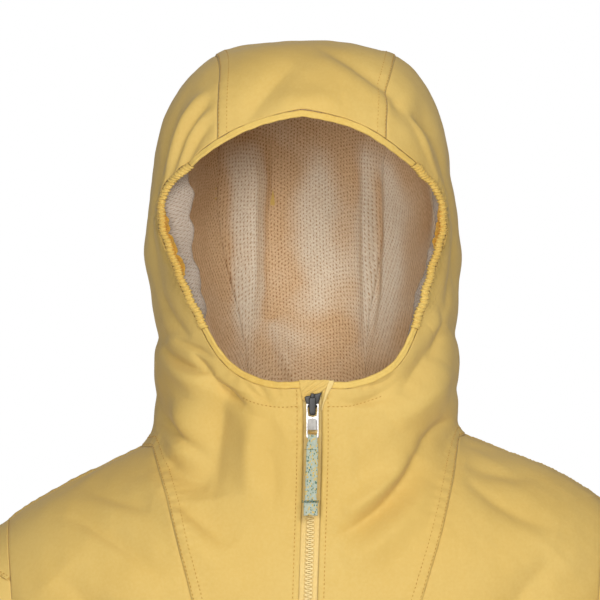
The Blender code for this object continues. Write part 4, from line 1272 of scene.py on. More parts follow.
class Finishes:
    """Every finish of the garment, built once."""

    def __init__(self) -> None:
        """Build the materials."""
        groups = Groups()
        self.shell = ClothFinish("shell_cloth", (0.705, 0.49, 0.148, 1), (0.675, 0.45, 0.12, 1)).make(groups)
        # Darker orange thread: its colour is painted shade of the needle holes round each stitch.
        self.thread = ClothFinish("shell_thread_with_painted_shade", (0.55, 0.3, 0.05, 1), (0.47, 0.24, 0.038, 1),
                                  yarn=0.0004, crumple=0.1).make(groups)
        self.roll = ClothFinish("rim_cloth", (0.76, 0.53, 0.145, 1), (0.69, 0.44, 0.095, 1)).make(groups)
        self.frill = ClothFinish("seam_allowance", (0.66, 0.385, 0.06, 1), (0.56, 0.3, 0.04, 1)).make(groups)
        self.tape = ClothFinish("zip_tape_cloth", (0.8, 0.6, 0.24, 1), (0.74, 0.53, 0.19, 1),
                                yarn=0.0009).make(groups)
        self.teeth = HardFinish("zip_teeth", (0.78, 0.56, 0.2, 1), (0.84, 0.64, 0.28, 1), 0.0, 0.42).make(groups)
        # Hood lining: a pale tone, a shell-tinted tone that also carries painted shade low in the hood, and the holes'
        # painted shade, pale and deep.
        self.mesh = MeshFinish("hood_mesh", (0.9, 0.79, 0.62, 1), (0.78, 0.545, 0.315, 1),
                               (0.5, 0.29, 0.13, 1), (0.36, 0.15, 0.045, 1)).make(groups)
        # Facings: their own greyer tones, and painted shade in their holes.
        self.facing = MeshFinish("facing_mesh", (0.64, 0.56, 0.48, 1), (0.56, 0.47, 0.38, 1),
                                 (0.36, 0.25, 0.17, 1), (0.33, 0.22, 0.14, 1), 0.0018, 0.0022).make(groups)
        self.enamel = HardFinish("slider_enamel", (0.008, 0.007, 0.006, 1), (0.02, 0.017, 0.014, 1), 0.0,
                                 0.42).make(groups)
        self.metal = HardFinish("pull_metal", (0.56, 0.55, 0.54, 1), (0.68, 0.67, 0.66, 1), 1.0, 0.36).make(groups)
        self.insert = HardFinish("pull_insert", (0.34, 0.32, 0.29, 1), (0.52, 0.49, 0.45, 1), 0.2, 0.6).make(groups)
        self.webbing = WebbingFinish().make(groups)
        self.tack = ClothFinish("tack_thread", (0.1, 0.2, 0.13, 1), (0.05, 0.11, 0.08, 1)).make(groups)
        self.floor = ClothFinish("floor_paint", (0.86, 0.86, 0.86, 1), (0.84, 0.84, 0.84, 1), yarn=0.01,
                                 crumple=0.0, sheen=0.0).make(groups)


# ---------------------------------------------------------------- body
@dataclass
class Body:
    """Front, back and hem of the body."""

    lines: Lines
    finishes: Finishes
    cloth: float = 0.001
    columns: int = 84
    low_step: float = 0.0055
    fine_from: float = -0.13
    fine_step: float = 0.0017
    thread: Thread = field(default_factory=Thread)

    def rows(self) -> Array:
        """Heights of the panels' rows, closer together on the chest."""
        low = np.arange(CUT.hem_z + CUT.casing, self.fine_from, self.low_step)
        high = np.arange(self.fine_from, -0.0004, self.fine_step)
        keys = [CUT.v_point_z, CUT.underarm_z, CUT.shoulder_z, 0.0]
        every = np.unique(np.concatenate([low, high, keys]))
        keep = [z for z in every if z in keys or min(abs(z - k) for k in keys) > 0.0007]
        return np.array(keep)

    def works(self, side: int) -> list[EdgeWork]:
        """The seams that shape one half of the front or back."""
        lines = self.lines
        made = [EdgeWork(lines.v_seam, seed=1.0), EdgeWork(lines.armhole, seed=2.0),
                EdgeWork(lines.shoulder, width=0.006, seed=3.0), EdgeWork(lines.flank, seed=4.0)]
        if side < 0:
            made = [EdgeWork(w.seam.mirrored(), w.width, w.pucker, w.seed + 7) for w in made]
        return [*made, EdgeWork(lines.hem, seed=5.0)]

    def build_front(self) -> None:
        """The front, from side seam to side seam below the hood-and-front pieces."""
        z = self.rows()
        share = spread(self.columns, [(0.0, 0.1, 14), (0.93, 1.0, 10)])[None]
        inner, outer = CUT.v_angle(z)[:, None], CUT.side_angle(z, -1)[:, None]
        rest = FORM.around(inner + (outer - inner) * share, z[:, None])
        under = z <= CUT.v_point_z + 1e-9
        strip = FORM.around(inner[under] * np.linspace(0, 1, 5)[None], z[under][:, None])
        plain = [EdgeWork(self.lines.armhole), EdgeWork(self.lines.hem)]
        skins = []
        for side in (1, -1):
            skins += [skin(sided(strip, side), plain), skin(sided(rest, side), self.works(side))]
        tailor("front_cloth", skins, self.cloth, self.finishes.shell, "front", cut=skins[1::2], abreast=2)

    def build_back(self) -> None:
        """The back, up to the hood."""
        z = self.rows()
        edge = CUT.side_angle(z, 1)[:, None]
        corner = math.pi - CUT.nape_angle
        side = edge + (corner - edge) * spread(46, [(0.0, 0.07, 8)])[None]
        centre = np.broadcast_to(np.linspace(corner, TURN - corner, 26)[None], (len(z), 26))
        angles = np.concatenate([side, centre[:, 1:-1], TURN - side[:, ::-1]], 1)
        works = self.works(1) + self.works(-1)[:-1] + [EdgeWork(self.lines.nape, seed=6.0)]
        grid = skin(FORM.around(angles, z[:, None]), works)
        tailor("back_cloth", [grid], self.cloth, self.finishes.shell, "back")

    def build_hem(self) -> None:
        """The hem's stitched casing."""
        angles = np.linspace(0, TURN, 500)
        heights = np.linspace(CUT.hem_z, CUT.hem_z + CUT.casing, 13)
        points = FORM.around(angles[None], heights[:, None])
        normal = FORM.normal(points)
        up = (heights - CUT.hem_z)[:, None] / CUT.casing
        around = lengths_along(points, 1)
        wave = np.sin(around * TURN / 0.011 + 1.7 * np.sin(around * 37))
        swell = 0.0006 * np.sin(np.pi * np.clip(up, 0.001, 0.999)) ** 0.5
        lift = cloth_lift(points, normal) + swell + 0.00035 * wave * (1 - up * 0.6)
        grid = raised(points, normal, lift)
        tailor("hem_cloth", [grid], 2.2 * self.cloth, self.finishes.shell, "hem_casing")

    def sew_seams(self) -> None:
        """The body's rows of stitches."""
        rows = []
        for side in (1, -1):
            works = self.works(side)
            rows.append(row_beside(works[2].seam, 0.0048, side, works))
        points = FORM.around(np.linspace(0, TURN, 900), CUT.hem_z + CUT.casing + 0.0012)
        normal = FORM.normal(points)
        rows.append((lifted(points, normal, [EdgeWork(self.lines.hem, seed=5.0)]), normal))
        self.thread.sew_rows("body_stitches", rows, self.finishes.thread)

    def build(self) -> None:
        """Make the whole body."""
        self.build_front()
        self.build_back()
        self.build_hem()
        self.sew_seams()


# ---------------------------------------------------------------- hood
@dataclass
class Hood:
    """The hood's centre, its two side-and-front pieces, and its mesh lining."""

    lines: Lines
    finishes: Finishes
    cloth: float = 0.001
    mesh_cloth: float = 0.0006
    rows: int = 136
    columns: int = 132
    centre_columns: int = 62
    lining_depth: float = 0.0024
    lining_from: float = 0.06
    thread: Thread = field(default_factory=Thread)

    def __post_init__(self) -> None:
        """Lay the grids that the hood's pieces share."""
        self.down = np.linspace(0, 1, self.rows) ** 1.25
        self.share = spread(self.columns, [(0.0, 0.06, 14), (0.435, 0.475, 22), (0.955, 1.0, 16)])
        self.share[np.abs(self.share - CUT.corner_share).argmin()] = CUT.corner_share
        begin = float(FORM.address(FORM.facing(CUT.slot_half, 0.0))[0])
        turned = (float(CUT.v_angle(np.array(0.0))) - begin) / (math.pi / 2 - begin)
        near = np.abs(self.share - CUT.corner_share * turned).argmin()
        self.share[near] = CUT.corner_share * turned
        self.front_count = near + 1
        self.centre = self.centre_points(self.down)
        self.lines.crown = Seam(resampled(self.centre[:, -1], 0.0012))
        self.side = self.side_points(self.down, self.share)
        self.strip = self.strip_points()

    def centre_points(self, down: Array) -> Array:
        """The centre piece, rim to nape by right to left."""
        share = np.linspace(-1, 1, self.centre_columns)
        x_rim = np.maximum(np.abs(share) * CUT.centre_half.value[0], 1e-5)
        outline = CUT.rim(CUT.rim_share(x_rim, 0.6, 1.0, False), CUT.edge)
        rim = FORM.facing(outline[:, 0] * np.sign(share), outline[:, 1])
        start = np.arctan2(rim[:, 2] - FORM.ear_z, -rim[:, 1])[None]
        along = down[:, None]
        rise = start + (math.pi - start) * np.minimum(along / CUT.over_share, 1)
        x = share[None] * CUT.centre_half(along)
        drop = np.maximum(along - CUT.over_share, 0) / (1 - CUT.over_share)
        origin = np.stack([x, 0 * x, FORM.ear_z * (1 - drop) + 0 * x], -1)
        grid = FORM.hit(origin, np.stack([0 * rise, -np.cos(rise), np.sin(rise)], -1))
        grid[0] = rim
        return grid

    def side_points(self, down: Array, share: Array) -> Array:
        """A side piece down to the neck line, blended between its four edges."""
        slot = CUT.slot_half
        begin = float(FORM.address(FORM.facing(slot, 0.0))[0])
        back_end = math.pi - CUT.nape_angle
        around = np.where(
            share <= CUT.corner_share,
            begin + (math.pi / 2 - begin) * share / CUT.corner_share,
            math.pi / 2 + (back_end - math.pi / 2) * (share - CUT.corner_share) / (1 - CUT.corner_share))
        first = CUT.zip_share
        outline = CUT.rim(first + (CUT.corner - first) * share, CUT.edge)
        top = np.stack(FORM.address(FORM.facing(outline[:, 0], outline[:, 1])), -1)
        bottom = np.stack([around, 0 * around], -1)
        near = np.stack(FORM.address(FORM.facing(slot, outline[0, 1] * (1 - down))), -1)
        far = np.stack(FORM.address(self.centre[:, -1]), -1)
        u, v = share[None, :, None] ** CUT.reach, down[:, None, None]
        mixed = (
            (1 - v) * top[None] + v * bottom[None] + (1 - u) * near[:, None] + u * far[:, None]
            - ((1 - u) * (1 - v) * top[0] + u * (1 - v) * top[-1] + (1 - u) * v * bottom[0] + u * v * bottom[-1])
        )
        grid = FORM.around(mixed[..., 0], mixed[..., 1])
        grid[:, -1] = self.centre[:, -1]
        return grid

    def strip_points(self) -> Array:
        """From the zip to the front seam, neck line down to the front seam's point."""
        z = np.concatenate([np.arange(0.0, -0.13, -0.0016), np.arange(-0.13, CUT.v_point_z, -0.0042),
                            [CUT.v_point_z]])
        start = FORM.address(FORM.facing(CUT.slot_half, z))[0][:, None]
        share = self.share[: self.front_count][None] / self.share[self.front_count - 1]
        return FORM.around(start + (CUT.v_angle(z)[:, None] - start) * share, z[:, None])

    def works(self, side: int) -> Works:
        """The seams and gathers that shape one side piece."""
        lines = self.lines

        def turn(seam: Seam) -> Seam:
            """The seam on this side."""
            return seam if side > 0 else seam.mirrored()

        seed = 0.0 if side > 0 else 2.7
        return [EdgeWork(turn(lines.v_seam), width=0.0092, pucker=0.00046, seed=seed),
                EdgeWork(turn(lines.crown), seed=1 + seed), SlotWork(turn(lines.slot), seed=seed),
                Gathers(turn(lines.rim), 0.3, 0.66, 0.0013, seed=seed),
                Gathers(turn(lines.rim), 0.03, 0.19, 0.00035, 0.009, 0.011, 4 + seed)]

    def centre_works(self) -> list[EdgeWork]:
        """The seams that shape the centre piece."""
        crown = self.lines.crown
        return [EdgeWork(crown, width=0.01, seed=1.0), EdgeWork(crown.mirrored(), width=0.01, seed=3.0),
                EdgeWork(self.lines.nape, width=0.008, seed=5.0)]

    def build_shell(self) -> None:
        """The hood's three outer pieces."""
        grid = skin(self.centre, self.centre_works())
        tailor("hood_centre_cloth", [grid], self.cloth, self.finishes.shell, "hood_centre")
        for name, side in SIDES:
            skins = [skin(sided(grid, side), self.works(side)) for grid in (self.side, self.strip)]
            tailor(f"hood_and_front_cloth_{name}", skins, self.cloth, self.finishes.shell, f"hood_and_front_{name}")

    def lining_skin(self, points: Array, depth: float) -> Skin:
        """A lining panel, its folds hanging into the hood, and how much of the mesh's pale tone it shows."""
        normal = FORM.normal(points)
        lift = np.zeros(points.shape[:-1])
        for fold in LINING_FOLDS:
            lift += fold.lift(points, normal)
        room = lengths_along(points, 0)
        free = ease(room / 0.03) * ease((points[..., 2] + 0.005) / 0.03)
        lift = (lift - 0.0014 * (1 + wander(points, 0.06, 8.0))) * free
        # Share of the pale tone: high where the mesh hangs off the shell, faded out towards the hood's bottom as
        # painted shade.
        loose_and_lit = ease((-lift - 0.0006) / 0.0056) * ease((points[..., 2] - 0.03) / 0.075)
        lift = np.minimum(lift - depth + np.minimum(cloth_lift(points, normal), 0), -depth)
        return raised(points, normal, lift, loose_and_lit)

    def build_lining(self) -> None:
        """The mesh lining's three pieces."""
        sides = [(f"side_mesh_{name}", name, sided(self.side[:, self.share >= self.lining_from], side))
                 for name, side in SIDES]
        for name, node, points in (("centre_mesh", "centre", self.centre), *sides):
            tailor(f"lining_{name}", [self.lining_skin(points, self.lining_depth)], self.mesh_cloth,
                   self.finishes.mesh, f"hood_lining_{node}", slot="mesh", held="gathered")

    def build_facings(self) -> None:
        """Pale jersey facings that bulge beside the elastic inside the rim."""
        for name, side, first, last, swell in (("left", 1, 0.2, 0.86, 0.0105), ("right", -1, 0.42, 0.93, 0.0235)):
            share = np.linspace(first, last, 120)
            down = np.linspace(0.0, 0.17, 30)
            points = sided(self.side_points_at(down, share), side)
            normal = FORM.normal(points)
            along = np.linspace(0, 1, len(share))[None]
            over = np.linspace(0, 1, len(down))[:, None]
            ends = np.sin(np.pi * np.clip(along, 0, 1)) ** 0.75
            uneven = 1 + 0.1 * np.sin(along * 15 + side) + 0.07 * np.sin(along * 37 + over * 5)
            crumple = 0.001 * wander(points, 0.016, 3.0 + side)
            lift = -0.003 - (swell * uneven + crumple) * np.sin(np.pi * over) ** 0.8 * ends
            lift = lift + np.minimum(cloth_lift(points, normal), 0)
            grid = raised(points, normal, lift)
            tailor(f"hood_facing_{name}", [grid], self.mesh_cloth, self.finishes.facing, slot="mesh", held="gathered")

    def side_points_at(self, down: Array, share: Array) -> Array:
        """The side piece read at other rows and columns."""
        rows = np.interp(down, self.down, np.arange(len(self.down)))
        columns = np.interp(share, self.share, np.arange(len(self.share)))
        r0, c0 = np.clip(rows.astype(int), 0, len(self.down) - 2), np.clip(columns.astype(int), 0, len(self.share) - 2)
        fr, fc = (rows - r0)[:, None, None], (columns - c0)[None, :, None]
        g = self.side
        low = g[np.ix_(r0, c0)] * (1 - fc) + g[np.ix_(r0, c0 + 1)] * fc
        high = g[np.ix_(r0 + 1, c0)] * (1 - fc) + g[np.ix_(r0 + 1, c0 + 1)] * fc
        return low * (1 - fr) + high * fr

    def sew_seams(self) -> None:
        """The hood's rows of stitches."""
        rows = []
        for side in (1, -1):
            works = self.works(side)
            v_seam, slot, rim = works[0].seam, works[2].seam, works[3].seam
            rows += [row_beside(v_seam, d, side, works) for d in (0.0017, 0.008)]
            rows.append(row_beside(slot, 0.0046, -side, works))
            walked = lengths_along(rim.points[None], 1)[0]
            span = slice(int(np.searchsorted(walked, 0.0045)), int(np.searchsorted(walked, 0.046)))
            points, normal = row_beside(rim, 0.0135, -side, works)
            rows.append((points[span], normal[span]))
            crown = works[1].seam
            rows += [row_beside(crown, d, side, self.centre_works()) for d in (0.0016, 0.0088)]
        self.thread.sew_rows("hood_stitches", rows, self.finishes.thread)

    def build(self) -> None:
        """Make the whole hood."""
        self.build_shell()
        self.build_lining()
        self.build_facings()
        self.sew_seams()


LINING_FOLDS: list[Fold] = [
    *folds(Face.BACK, (
        (-44, 245, -40, 150, -50, 70, 12.5, -12.5, -0.35), (-26, 240, -22, 150, -30, 85, 5, 6),
        (-30, 95, -20, 55, -2, 25, 8.5, -8, 0.3), (-50, 80, -58, 50, -52, 20, 10, -6),
        (-73, 225, -68, 150, -70, 60, 10, 7), (55, 235, 58, 150, 50, 60, 7.5, -10, 0.25),
        (66, 220, 68, 150, 60, 70, 5.5, 5), (73, 225, 82, 150, 54, 45, 8.5, -9.5, 0.3),
        (16, 240, 12, 165, 14, 85, 19, -6.2),
    )),
    *folds(Face.LEFT, (
        (-60, 215, -40, 140, -30, 80, 11, -6), (-10, 230, 10, 150, 0, 70, 14, -7), (50, 220, 70, 150, 60, 80, 13, -6),
    )),
    *folds(Face.RIGHT, (
        (-60, 220, -45, 150, -30, 85, 12, -7.5), (-5, 225, 15, 150, 5, 70, 14, -7), (55, 220, 70, 150, 60, 80, 12, -6),
    )),
    *folds(Face.TOP, (
        (-50, 40, -45, 0, -40, -60, 14, -6), (45, 50, 40, 0, 50, -50, 14, -6),
    )),
]


# ---------------------------------------------------------------- roll round the face opening
class RollKind(Enum):
    """How a stretch of the rim's roll is finished."""

    SMOOTH = "smooth"
    RUCHED = "ruched"


@dataclass
class FaceRoll:
    """The narrow roll that binds the face opening, gathered on elastic at both sides."""

    finishes: Finishes
    half_width: float = 0.0027
    half_height: float = 0.0017
    ruched_width: float = 0.0037
    ruched_height: float = 0.0027
    chin_end: float = 5 / 11
    elastic_end: float = 10 / 11
    pitch: float = 0.0033
    sides: int = 18

    def centre_line(self, t: Array, side: int) -> tuple[Array, Array, Array]:
        """The roll's middle, across and outward directions."""
        middle, outer = CUT.rim(t, CUT.roll / 2), CUT.rim(t, CUT.roll)
        centre = FORM.facing(middle[:, 0], middle[:, 1])
        normal = FORM.normal(centre)
        across = FORM.facing(outer[:, 0], outer[:, 1]) - centre
        across = unit(across - normal * (across * normal).sum(-1, keepdims=True))
        flip = np.array((float(side), 1.0, 1.0))
        return centre * flip, across * flip, normal * flip

    def tube(self, name: str, runs: Sequence[tuple[Array, int]], kind: RollKind, node: str) -> None:
        """One stretch of the roll.

        Args:
            name: The piece's name.
            runs: Shares of the rim with the side of the body that they are on.
            kind: Smooth or ruched.
            node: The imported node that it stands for.
        """
        centre, across, normal = (np.concatenate(part) for part in
                                  zip(*[self.centre_line(t, side) for t, side in runs]))
        walked = lengths_along(centre[None], 1)[0][:, None]
        turn = np.linspace(0, TURN, self.sides + 1)[None]
        lift = cloth_lift(centre, normal)[:, None] - 0.0007
        ends = ease(walked / 0.004) * ease((walked[-1] - walked) / 0.004)
        if kind is RollKind.RUCHED:
            phase = walked * TURN / self.pitch + 2.0 * np.sin(walked * 130) + 1.1 * np.sin(turn)
            fold = 1 + (0.15 * np.sin(phase) + 0.1 * np.sin(phase * 1.7 + 2.5 * turn)
                        + 0.07 * np.sin(phase * 2.6 - 4 * turn)) * ends
            wide, high = self.ruched_width * fold, self.ruched_height * fold
            sway = 0.0009 * np.sin(walked * TURN / 0.021 + 1.0) * ends
        else:
            line = np.exp(-(((turn - math.pi / 2) / 0.3) ** 2))
            wave = 1 + 0.05 * np.sin(walked * TURN / 0.013 + 2 * np.sin(walked * 60))
            wide, high = self.half_width * wave, self.half_height * (1 - 0.42 * line) * wave
            sway = 0.0 * walked
        a, n = across[:, None], normal[:, None]
        shift = (np.cos(turn) * wide + sway)[..., None]
        rise = (np.sin(turn) * high + lift)[..., None]
        points = centre[:, None] + a * shift + n * rise
        outward = unit(a * np.cos(turn)[..., None] + n * np.sin(turn)[..., None])
        grid = Skin(points, outward, cloth_uv(points))
        held = "gathered" if kind is RollKind.RUCHED else "folded"
        tailor(name, [grid], 0.0006, self.finishes.roll, node, held=held)

    def frill(self, name: str, side: int, first: float, last: float) -> None:
        """The raw seam allowance that peeps out inside the elastic."""
        t = np.linspace(first, last, 150)
        centre, across, normal = self.centre_line(t, side)
        walked = lengths_along(centre[None], 1)[0][:, None]
        out = np.linspace(0, 1, 14)[None]
        ends = ease(walked / 0.008) * ease((walked[-1] - walked) / 0.008)
        ruffle = np.sin(walked * TURN / 0.0085 + 1.6 * np.sin(walked * 120))
        flaps = np.abs(np.sin(walked / walked[-1] * 3 * math.pi)) ** 0.5
        reach = -0.0048 + (0.0062 + 0.005 * ends * flaps * (1 + 0.25 * ruffle)) * out
        drop = -0.0016 - 0.0016 * out + 0.0011 * ruffle * out * ends
        points = centre[:, None] - across[:, None] * (0.001 + reach)[..., None] + normal[:, None] * drop[..., None]
        grid = Skin(points, np.broadcast_to(normal[:, None], points.shape), cloth_uv(points))
        tailor(name, [grid], 0.0005, self.finishes.frill, held="gathered")

    def build(self) -> None:
        """Make every stretch of the roll."""
        first = CUT.zip_share
        reach = CUT.corner - first
        chin, elastic = first + reach * self.chin_end, first + reach * self.elastic_end
        for name, side in SIDES:
            self.tube(f"chin_roll_{name}", [(np.linspace(first, chin, 130), side)],
                      RollKind.SMOOTH, f"face_roll_chin_{name}")
            self.tube(f"elastic_roll_{name}", [(np.linspace(chin, elastic, 460), side)],
                      RollKind.RUCHED, f"face_roll_elastic_{name}")
        self.tube("crown_roll", [(np.linspace(elastic, 1.0, 130), 1), (np.linspace(1.0, elastic, 130)[1:], -1)],
                  RollKind.SMOOTH, "face_roll_top")
        self.frill("elastic_frill_right", -1, 0.5, 0.63)
        self.frill("elastic_frill_left", 1, 0.55, 0.64)


# ---------------------------------------------------------------- sleeves
@dataclass
class Sleeve:
    """Set-in sleeves, each with a cap piece and a plain cuff."""

    lines: Lines
    finishes: Finishes
    cloth: float = 0.001
    cuff_length: float = 0.028
    outer_x: Column = (0.229, 0.262, 0.298, 0.325, 0.345, 0.364, 0.38, 0.39, 0.392)
    outer_z: Column = (-0.053, -0.075, -0.115, -0.17, -0.245, -0.345, -0.455, -0.555, -0.612)
    inner_x: Column = (0.237, 0.2475, 0.2525, 0.2555, 0.259, 0.267, 0.281, 0.299, 0.31)
    inner_z: Column = (-0.235, -0.248, -0.262, -0.285, -0.324, -0.385, -0.47, -0.565, -0.622)
    depth: Column = (0.066, 0.068, 0.07, 0.07, 0.068, 0.062, 0.056, 0.048, 0.042)
    forward: Column = (0.0, 0.0, 0.0, 0.001, 0.003, 0.01, 0.021, 0.032, 0.037)
    cap_z: Column = (-0.095, -0.074)
    cap_width: Column = (0.03, 0.62, 1.0, 0.62, 0.03)
    ring_step: float = 0.056
    thread: Thread = field(default_factory=Thread)

    def __post_init__(self) -> None:
        """Measure the armhole, from the underarm up the front and down the back."""
        zs = np.linspace(CUT.underarm_z, CUT.shoulder_z, 62)[1:-1]
        front, back = (FORM.facing(CUT.armhole(zs), zs, side) for side in (-1, 1))
        under, top = FORM.around(math.pi / 2, CUT.underarm_z), FORM.around(math.pi / 2, CUT.shoulder_z)
        ring = np.concatenate([[under], front, [top], back[::-1], [under]])
        walked = lengths_along(ring[None], 1)[0]
        crest = len(zs) + 1
        rear = math.pi + (walked[crest:] - walked[crest]) / (walked[-1] - walked[crest]) * math.pi
        self.angles = np.concatenate([walked[:crest] / walked[crest] * math.pi, rear])
        self.offsets = ring - self.plain(self.angles, 0 * self.angles)
        self.heights = ring[:, 2]
        notch = [float(np.interp(z, zs, self.angles[1:crest])) for z in self.cap_z]
        rear_notch = [float(np.interp(-z, -zs[::-1], self.angles[crest + 1 : -1])) for z in self.cap_z[::-1]]
        self.cap_angles = np.array([*notch, math.pi, *rear_notch])

    def column(self, name: str, s: Array) -> Array:
        """A ring table read at a place along the sleeve, on past its last ring."""
        values = np.asarray(getattr(self, name), float)
        slope = np.gradient(values)
        i = np.clip(np.floor(s).astype(int), 0, len(values) - 2)
        t = s - i
        return (values[i] * (1 + 2 * t) * (1 - t) ** 2 + values[i + 1] * t * t * (3 - 2 * t)
                + slope[i] * t * (1 - t) ** 2 - slope[i + 1] * t * t * (1 - t))

    def plain(self, angle: Array, s: Array) -> Array:
        """The sleeve before it is fitted to the armhole."""
        angle, s = np.broadcast_arrays(np.asarray(angle, float), np.asarray(s, float))
        fwd = self.column("forward", s)
        outer = np.stack([self.column("outer_x", s), -fwd, self.column("outer_z", s)], -1)
        inner = np.stack([self.column("inner_x", s), -fwd, self.column("inner_z", s)], -1)
        swing = np.stack([0 * s, -self.column("depth", s) * np.sin(angle), 0 * s], -1)
        return (outer + inner) / 2 - (outer - inner) / 2 * np.cos(angle)[..., None] + swing

    def at(self, angle: Array, s: Array) -> Array:
        """Points of the sleeve."""
        angle, s = np.broadcast_arrays(np.asarray(angle, float), np.asarray(s, float))
        turn = angle % (TURN)
        offset = np.stack([np.interp(turn, self.angles, self.offsets[:, k]) for k in range(3)], -1)
        return self.plain(angle, s) + offset * (np.maximum(0, 1 - s / 2) ** 2)[..., None]

    def normal(self, angle: Array, s: Array) -> Array:
        """Its outward normals."""
        down = self.at(angle, s + 0.05) - self.at(angle, np.maximum(s - 0.05, 0))
        around = self.at(angle + 0.05, s) - self.at(angle - 0.05, s)
        return unit(np.cross(down, around))

    def crumple(self, angle: Array, s: Array, side: int) -> Array:
        """Folds that ring the arm, deepest at the elbow and above the cuff."""
        p = self.at(angle, s)
        seed = 3.0 + side
        lift = 0.003 * wander(p, 0.12, seed) + 0.001 * wander(p, 0.045, seed + 4)
        for ring, tilt, turn, size in ((0.9, 0.4, 1.2, 0.003), (2.5, 0.7, 4.3, -0.004), (3.7, 0.6, 0.4, 0.0044),
                                       (4.3, 0.6, 2.0, -0.005), (4.9, 0.5, 5.2, 0.004), (6.4, 0.5, 1.0, -0.0036),
                                       (7.2, 0.4, 3.6, 0.0034)):
            centre = ring + tilt * np.sin(angle + turn + side)
            partly = 0.5 + 0.5 * np.cos(angle - turn)
            lift = lift + size * partly * np.exp(-(((s - centre) / 0.24) ** 2))
        return lift * ease(s / 1.1) * ease((8.0 - s) / 0.5)

    def grid(self, angle: Array, s: Array, side: int, extra: Array | float = 0.0) -> Skin:
        """A skin over a range of angles and rings."""
        angle, s = np.broadcast_arrays(angle, s)
        points, normal = self.at(angle, s), self.normal(angle, s)
        lift = self.crumple(angle, s, side) + extra
        made = raised(points, normal, lift)
        return made if side > 0 else made.mirrored()

    def build_one(self, name: str, side: int) -> None:
        """Make one sleeve, its cap and its cuff."""
        angle = np.linspace(0, TURN, 150)[None]
        width = np.interp(angle, self.cap_angles, self.cap_width, left=0.0, right=0.0)
        down = np.linspace(0, 1, 170)[:, None]
        top_seam = 0.0006 * ease(1 - (down * 8.0) / 0.1) * (width > 0.02)
        s = width + (8.0 - width) * down
        body = self.grid(angle, s, side, -top_seam)
        tailor(f"sleeve_cloth_{name}", [body], self.cloth, self.finishes.shell, f"sleeve_front_{name}",
               f"sleeve_back_{name}")
        cap_angle = np.linspace(self.cap_angles[0], self.cap_angles[-1], 90)[None]
        cap_width = np.interp(cap_angle, self.cap_angles, self.cap_width)
        over = np.linspace(0, 1, 22)[:, None]
        s = cap_width * over
        near = (cap_width - s) * self.ring_step * 0.75
        band = 0.0006 * ease((0.005 - near) / 0.0012)
        cap = self.grid(cap_angle, s, side, band + 0.0004 * np.sin(cap_angle * 55) * np.exp(-((near / 0.006) ** 2)))
        tailor(f"sleeve_cap_cloth_{name}", [cap], self.cloth, self.finishes.shell, f"sleeve_cap_{name}")
        low = 8.0 + self.cuff_length / self.ring_step * np.linspace(0, 1, 12)[:, None]
        ring = np.linspace(0, TURN, 260)[None]
        ruche = 0.0006 + 0.00055 * np.sin(ring * 46 + 1.6 * np.sin(ring * 5)) * np.sin(
            np.pi * np.linspace(0.15, 1, 12)[:, None])
        cuff = self.grid(ring, low, side, ruche)
        tailor(f"cuff_cloth_{name}", [cuff], 2 * self.cloth, self.finishes.shell, f"cuff_{name}", held="gathered")
        rows = []
        for inset in (0.03, 0.085):
            at = np.maximum(cap_width[0] - inset, 0.004)
            line = self.grid(cap_angle, np.stack([at, at + 0.01]), side, 0.0006)
            rows.append((line.points[0], line.normals[0]))
        self.thread.sew_rows(f"sleeve_stitches_{name}", rows, self.finishes.thread)

    def build(self) -> None:
        """Make both sleeves."""
        self.build_one("left", 1)
        self.build_one("right", -1)


# ---------------------------------------------------------------- hard pieces, modelled at the bench
class Bench:
    """Modelling by hand: primitives, edit mode, and modifiers that are applied."""

    @staticmethod
    def clear() -> None:
        """Deselect everything."""
        bpy.ops.object.select_all(action="DESELECT")

    @staticmethod
    def block(name: str, size: Sequence[float], place: Sequence[float]) -> Piece:
        """A block at its size and place, its transform applied."""
        Bench.clear()
        bpy.ops.mesh.primitive_cube_add(size=1, location=tuple(place), scale=tuple(size))
        bpy.ops.object.transform_apply(location=True, rotation=True, scale=True)
        piece = bpy.context.object
        piece.name = piece.data.name = name
        return piece

    @staticmethod
    def pick(piece: Piece, wanted: Callable[[Vector], bool]) -> None:
        """Select the corners that a rule names, in edit mode."""
        bpy.context.view_layer.objects.active = piece
        bpy.ops.object.mode_set(mode="EDIT")
        bpy.ops.mesh.select_mode(type="VERT")
        bpy.ops.mesh.select_all(action="DESELECT")
        bm = bmesh.from_edit_mesh(piece.data)
        for v in bm.verts:
            v.select_set(bool(wanted(v.co)))
        bm.select_flush(True)
        bmesh.update_edit_mesh(piece.data)

    @staticmethod
    def done() -> None:
        """Leave edit mode."""
        bpy.ops.object.mode_set(mode="OBJECT")

    @staticmethod
    def soften(piece: Piece, bevel: float, smooth: int = 1, segments: int = 2) -> None:
        """Round a piece's edges and smooth it."""
        rounding = piece.modifiers.new("edges", "BEVEL")
        rounding.width, rounding.segments, rounding.limit_method = bevel, segments, "ANGLE"
        if smooth:
            surface = piece.modifiers.new("smooth", "SUBSURF")
            surface.levels = surface.render_levels = smooth
        apply_modifiers(piece)
        bpy.ops.object.shade_smooth_by_angle(angle=math.radians(50))

    @staticmethod
    def join(name: str, pieces: Sequence[Piece]) -> Piece:
        """Join pieces into the first."""
        Bench.clear()
        for piece in pieces:
            piece.select_set(True)
        bpy.context.view_layer.objects.active = pieces[0]
        bpy.ops.object.join()
        pieces[0].name = pieces[0].data.name = name
        return pieces[0]

    @staticmethod
    def finish(piece: Piece, finish: Material, body: str, slot: str,
               nodes: Sequence[str] = ()) -> None:
        """Dress a piece and say what it rides on and stands for."""
        piece.data.materials.clear()
        piece.data.materials.append(finish)
        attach(piece, body)
        if nodes:
            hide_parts(*nodes)
        log.info("%s: %d faces", piece.name, len(piece.data.polygons))


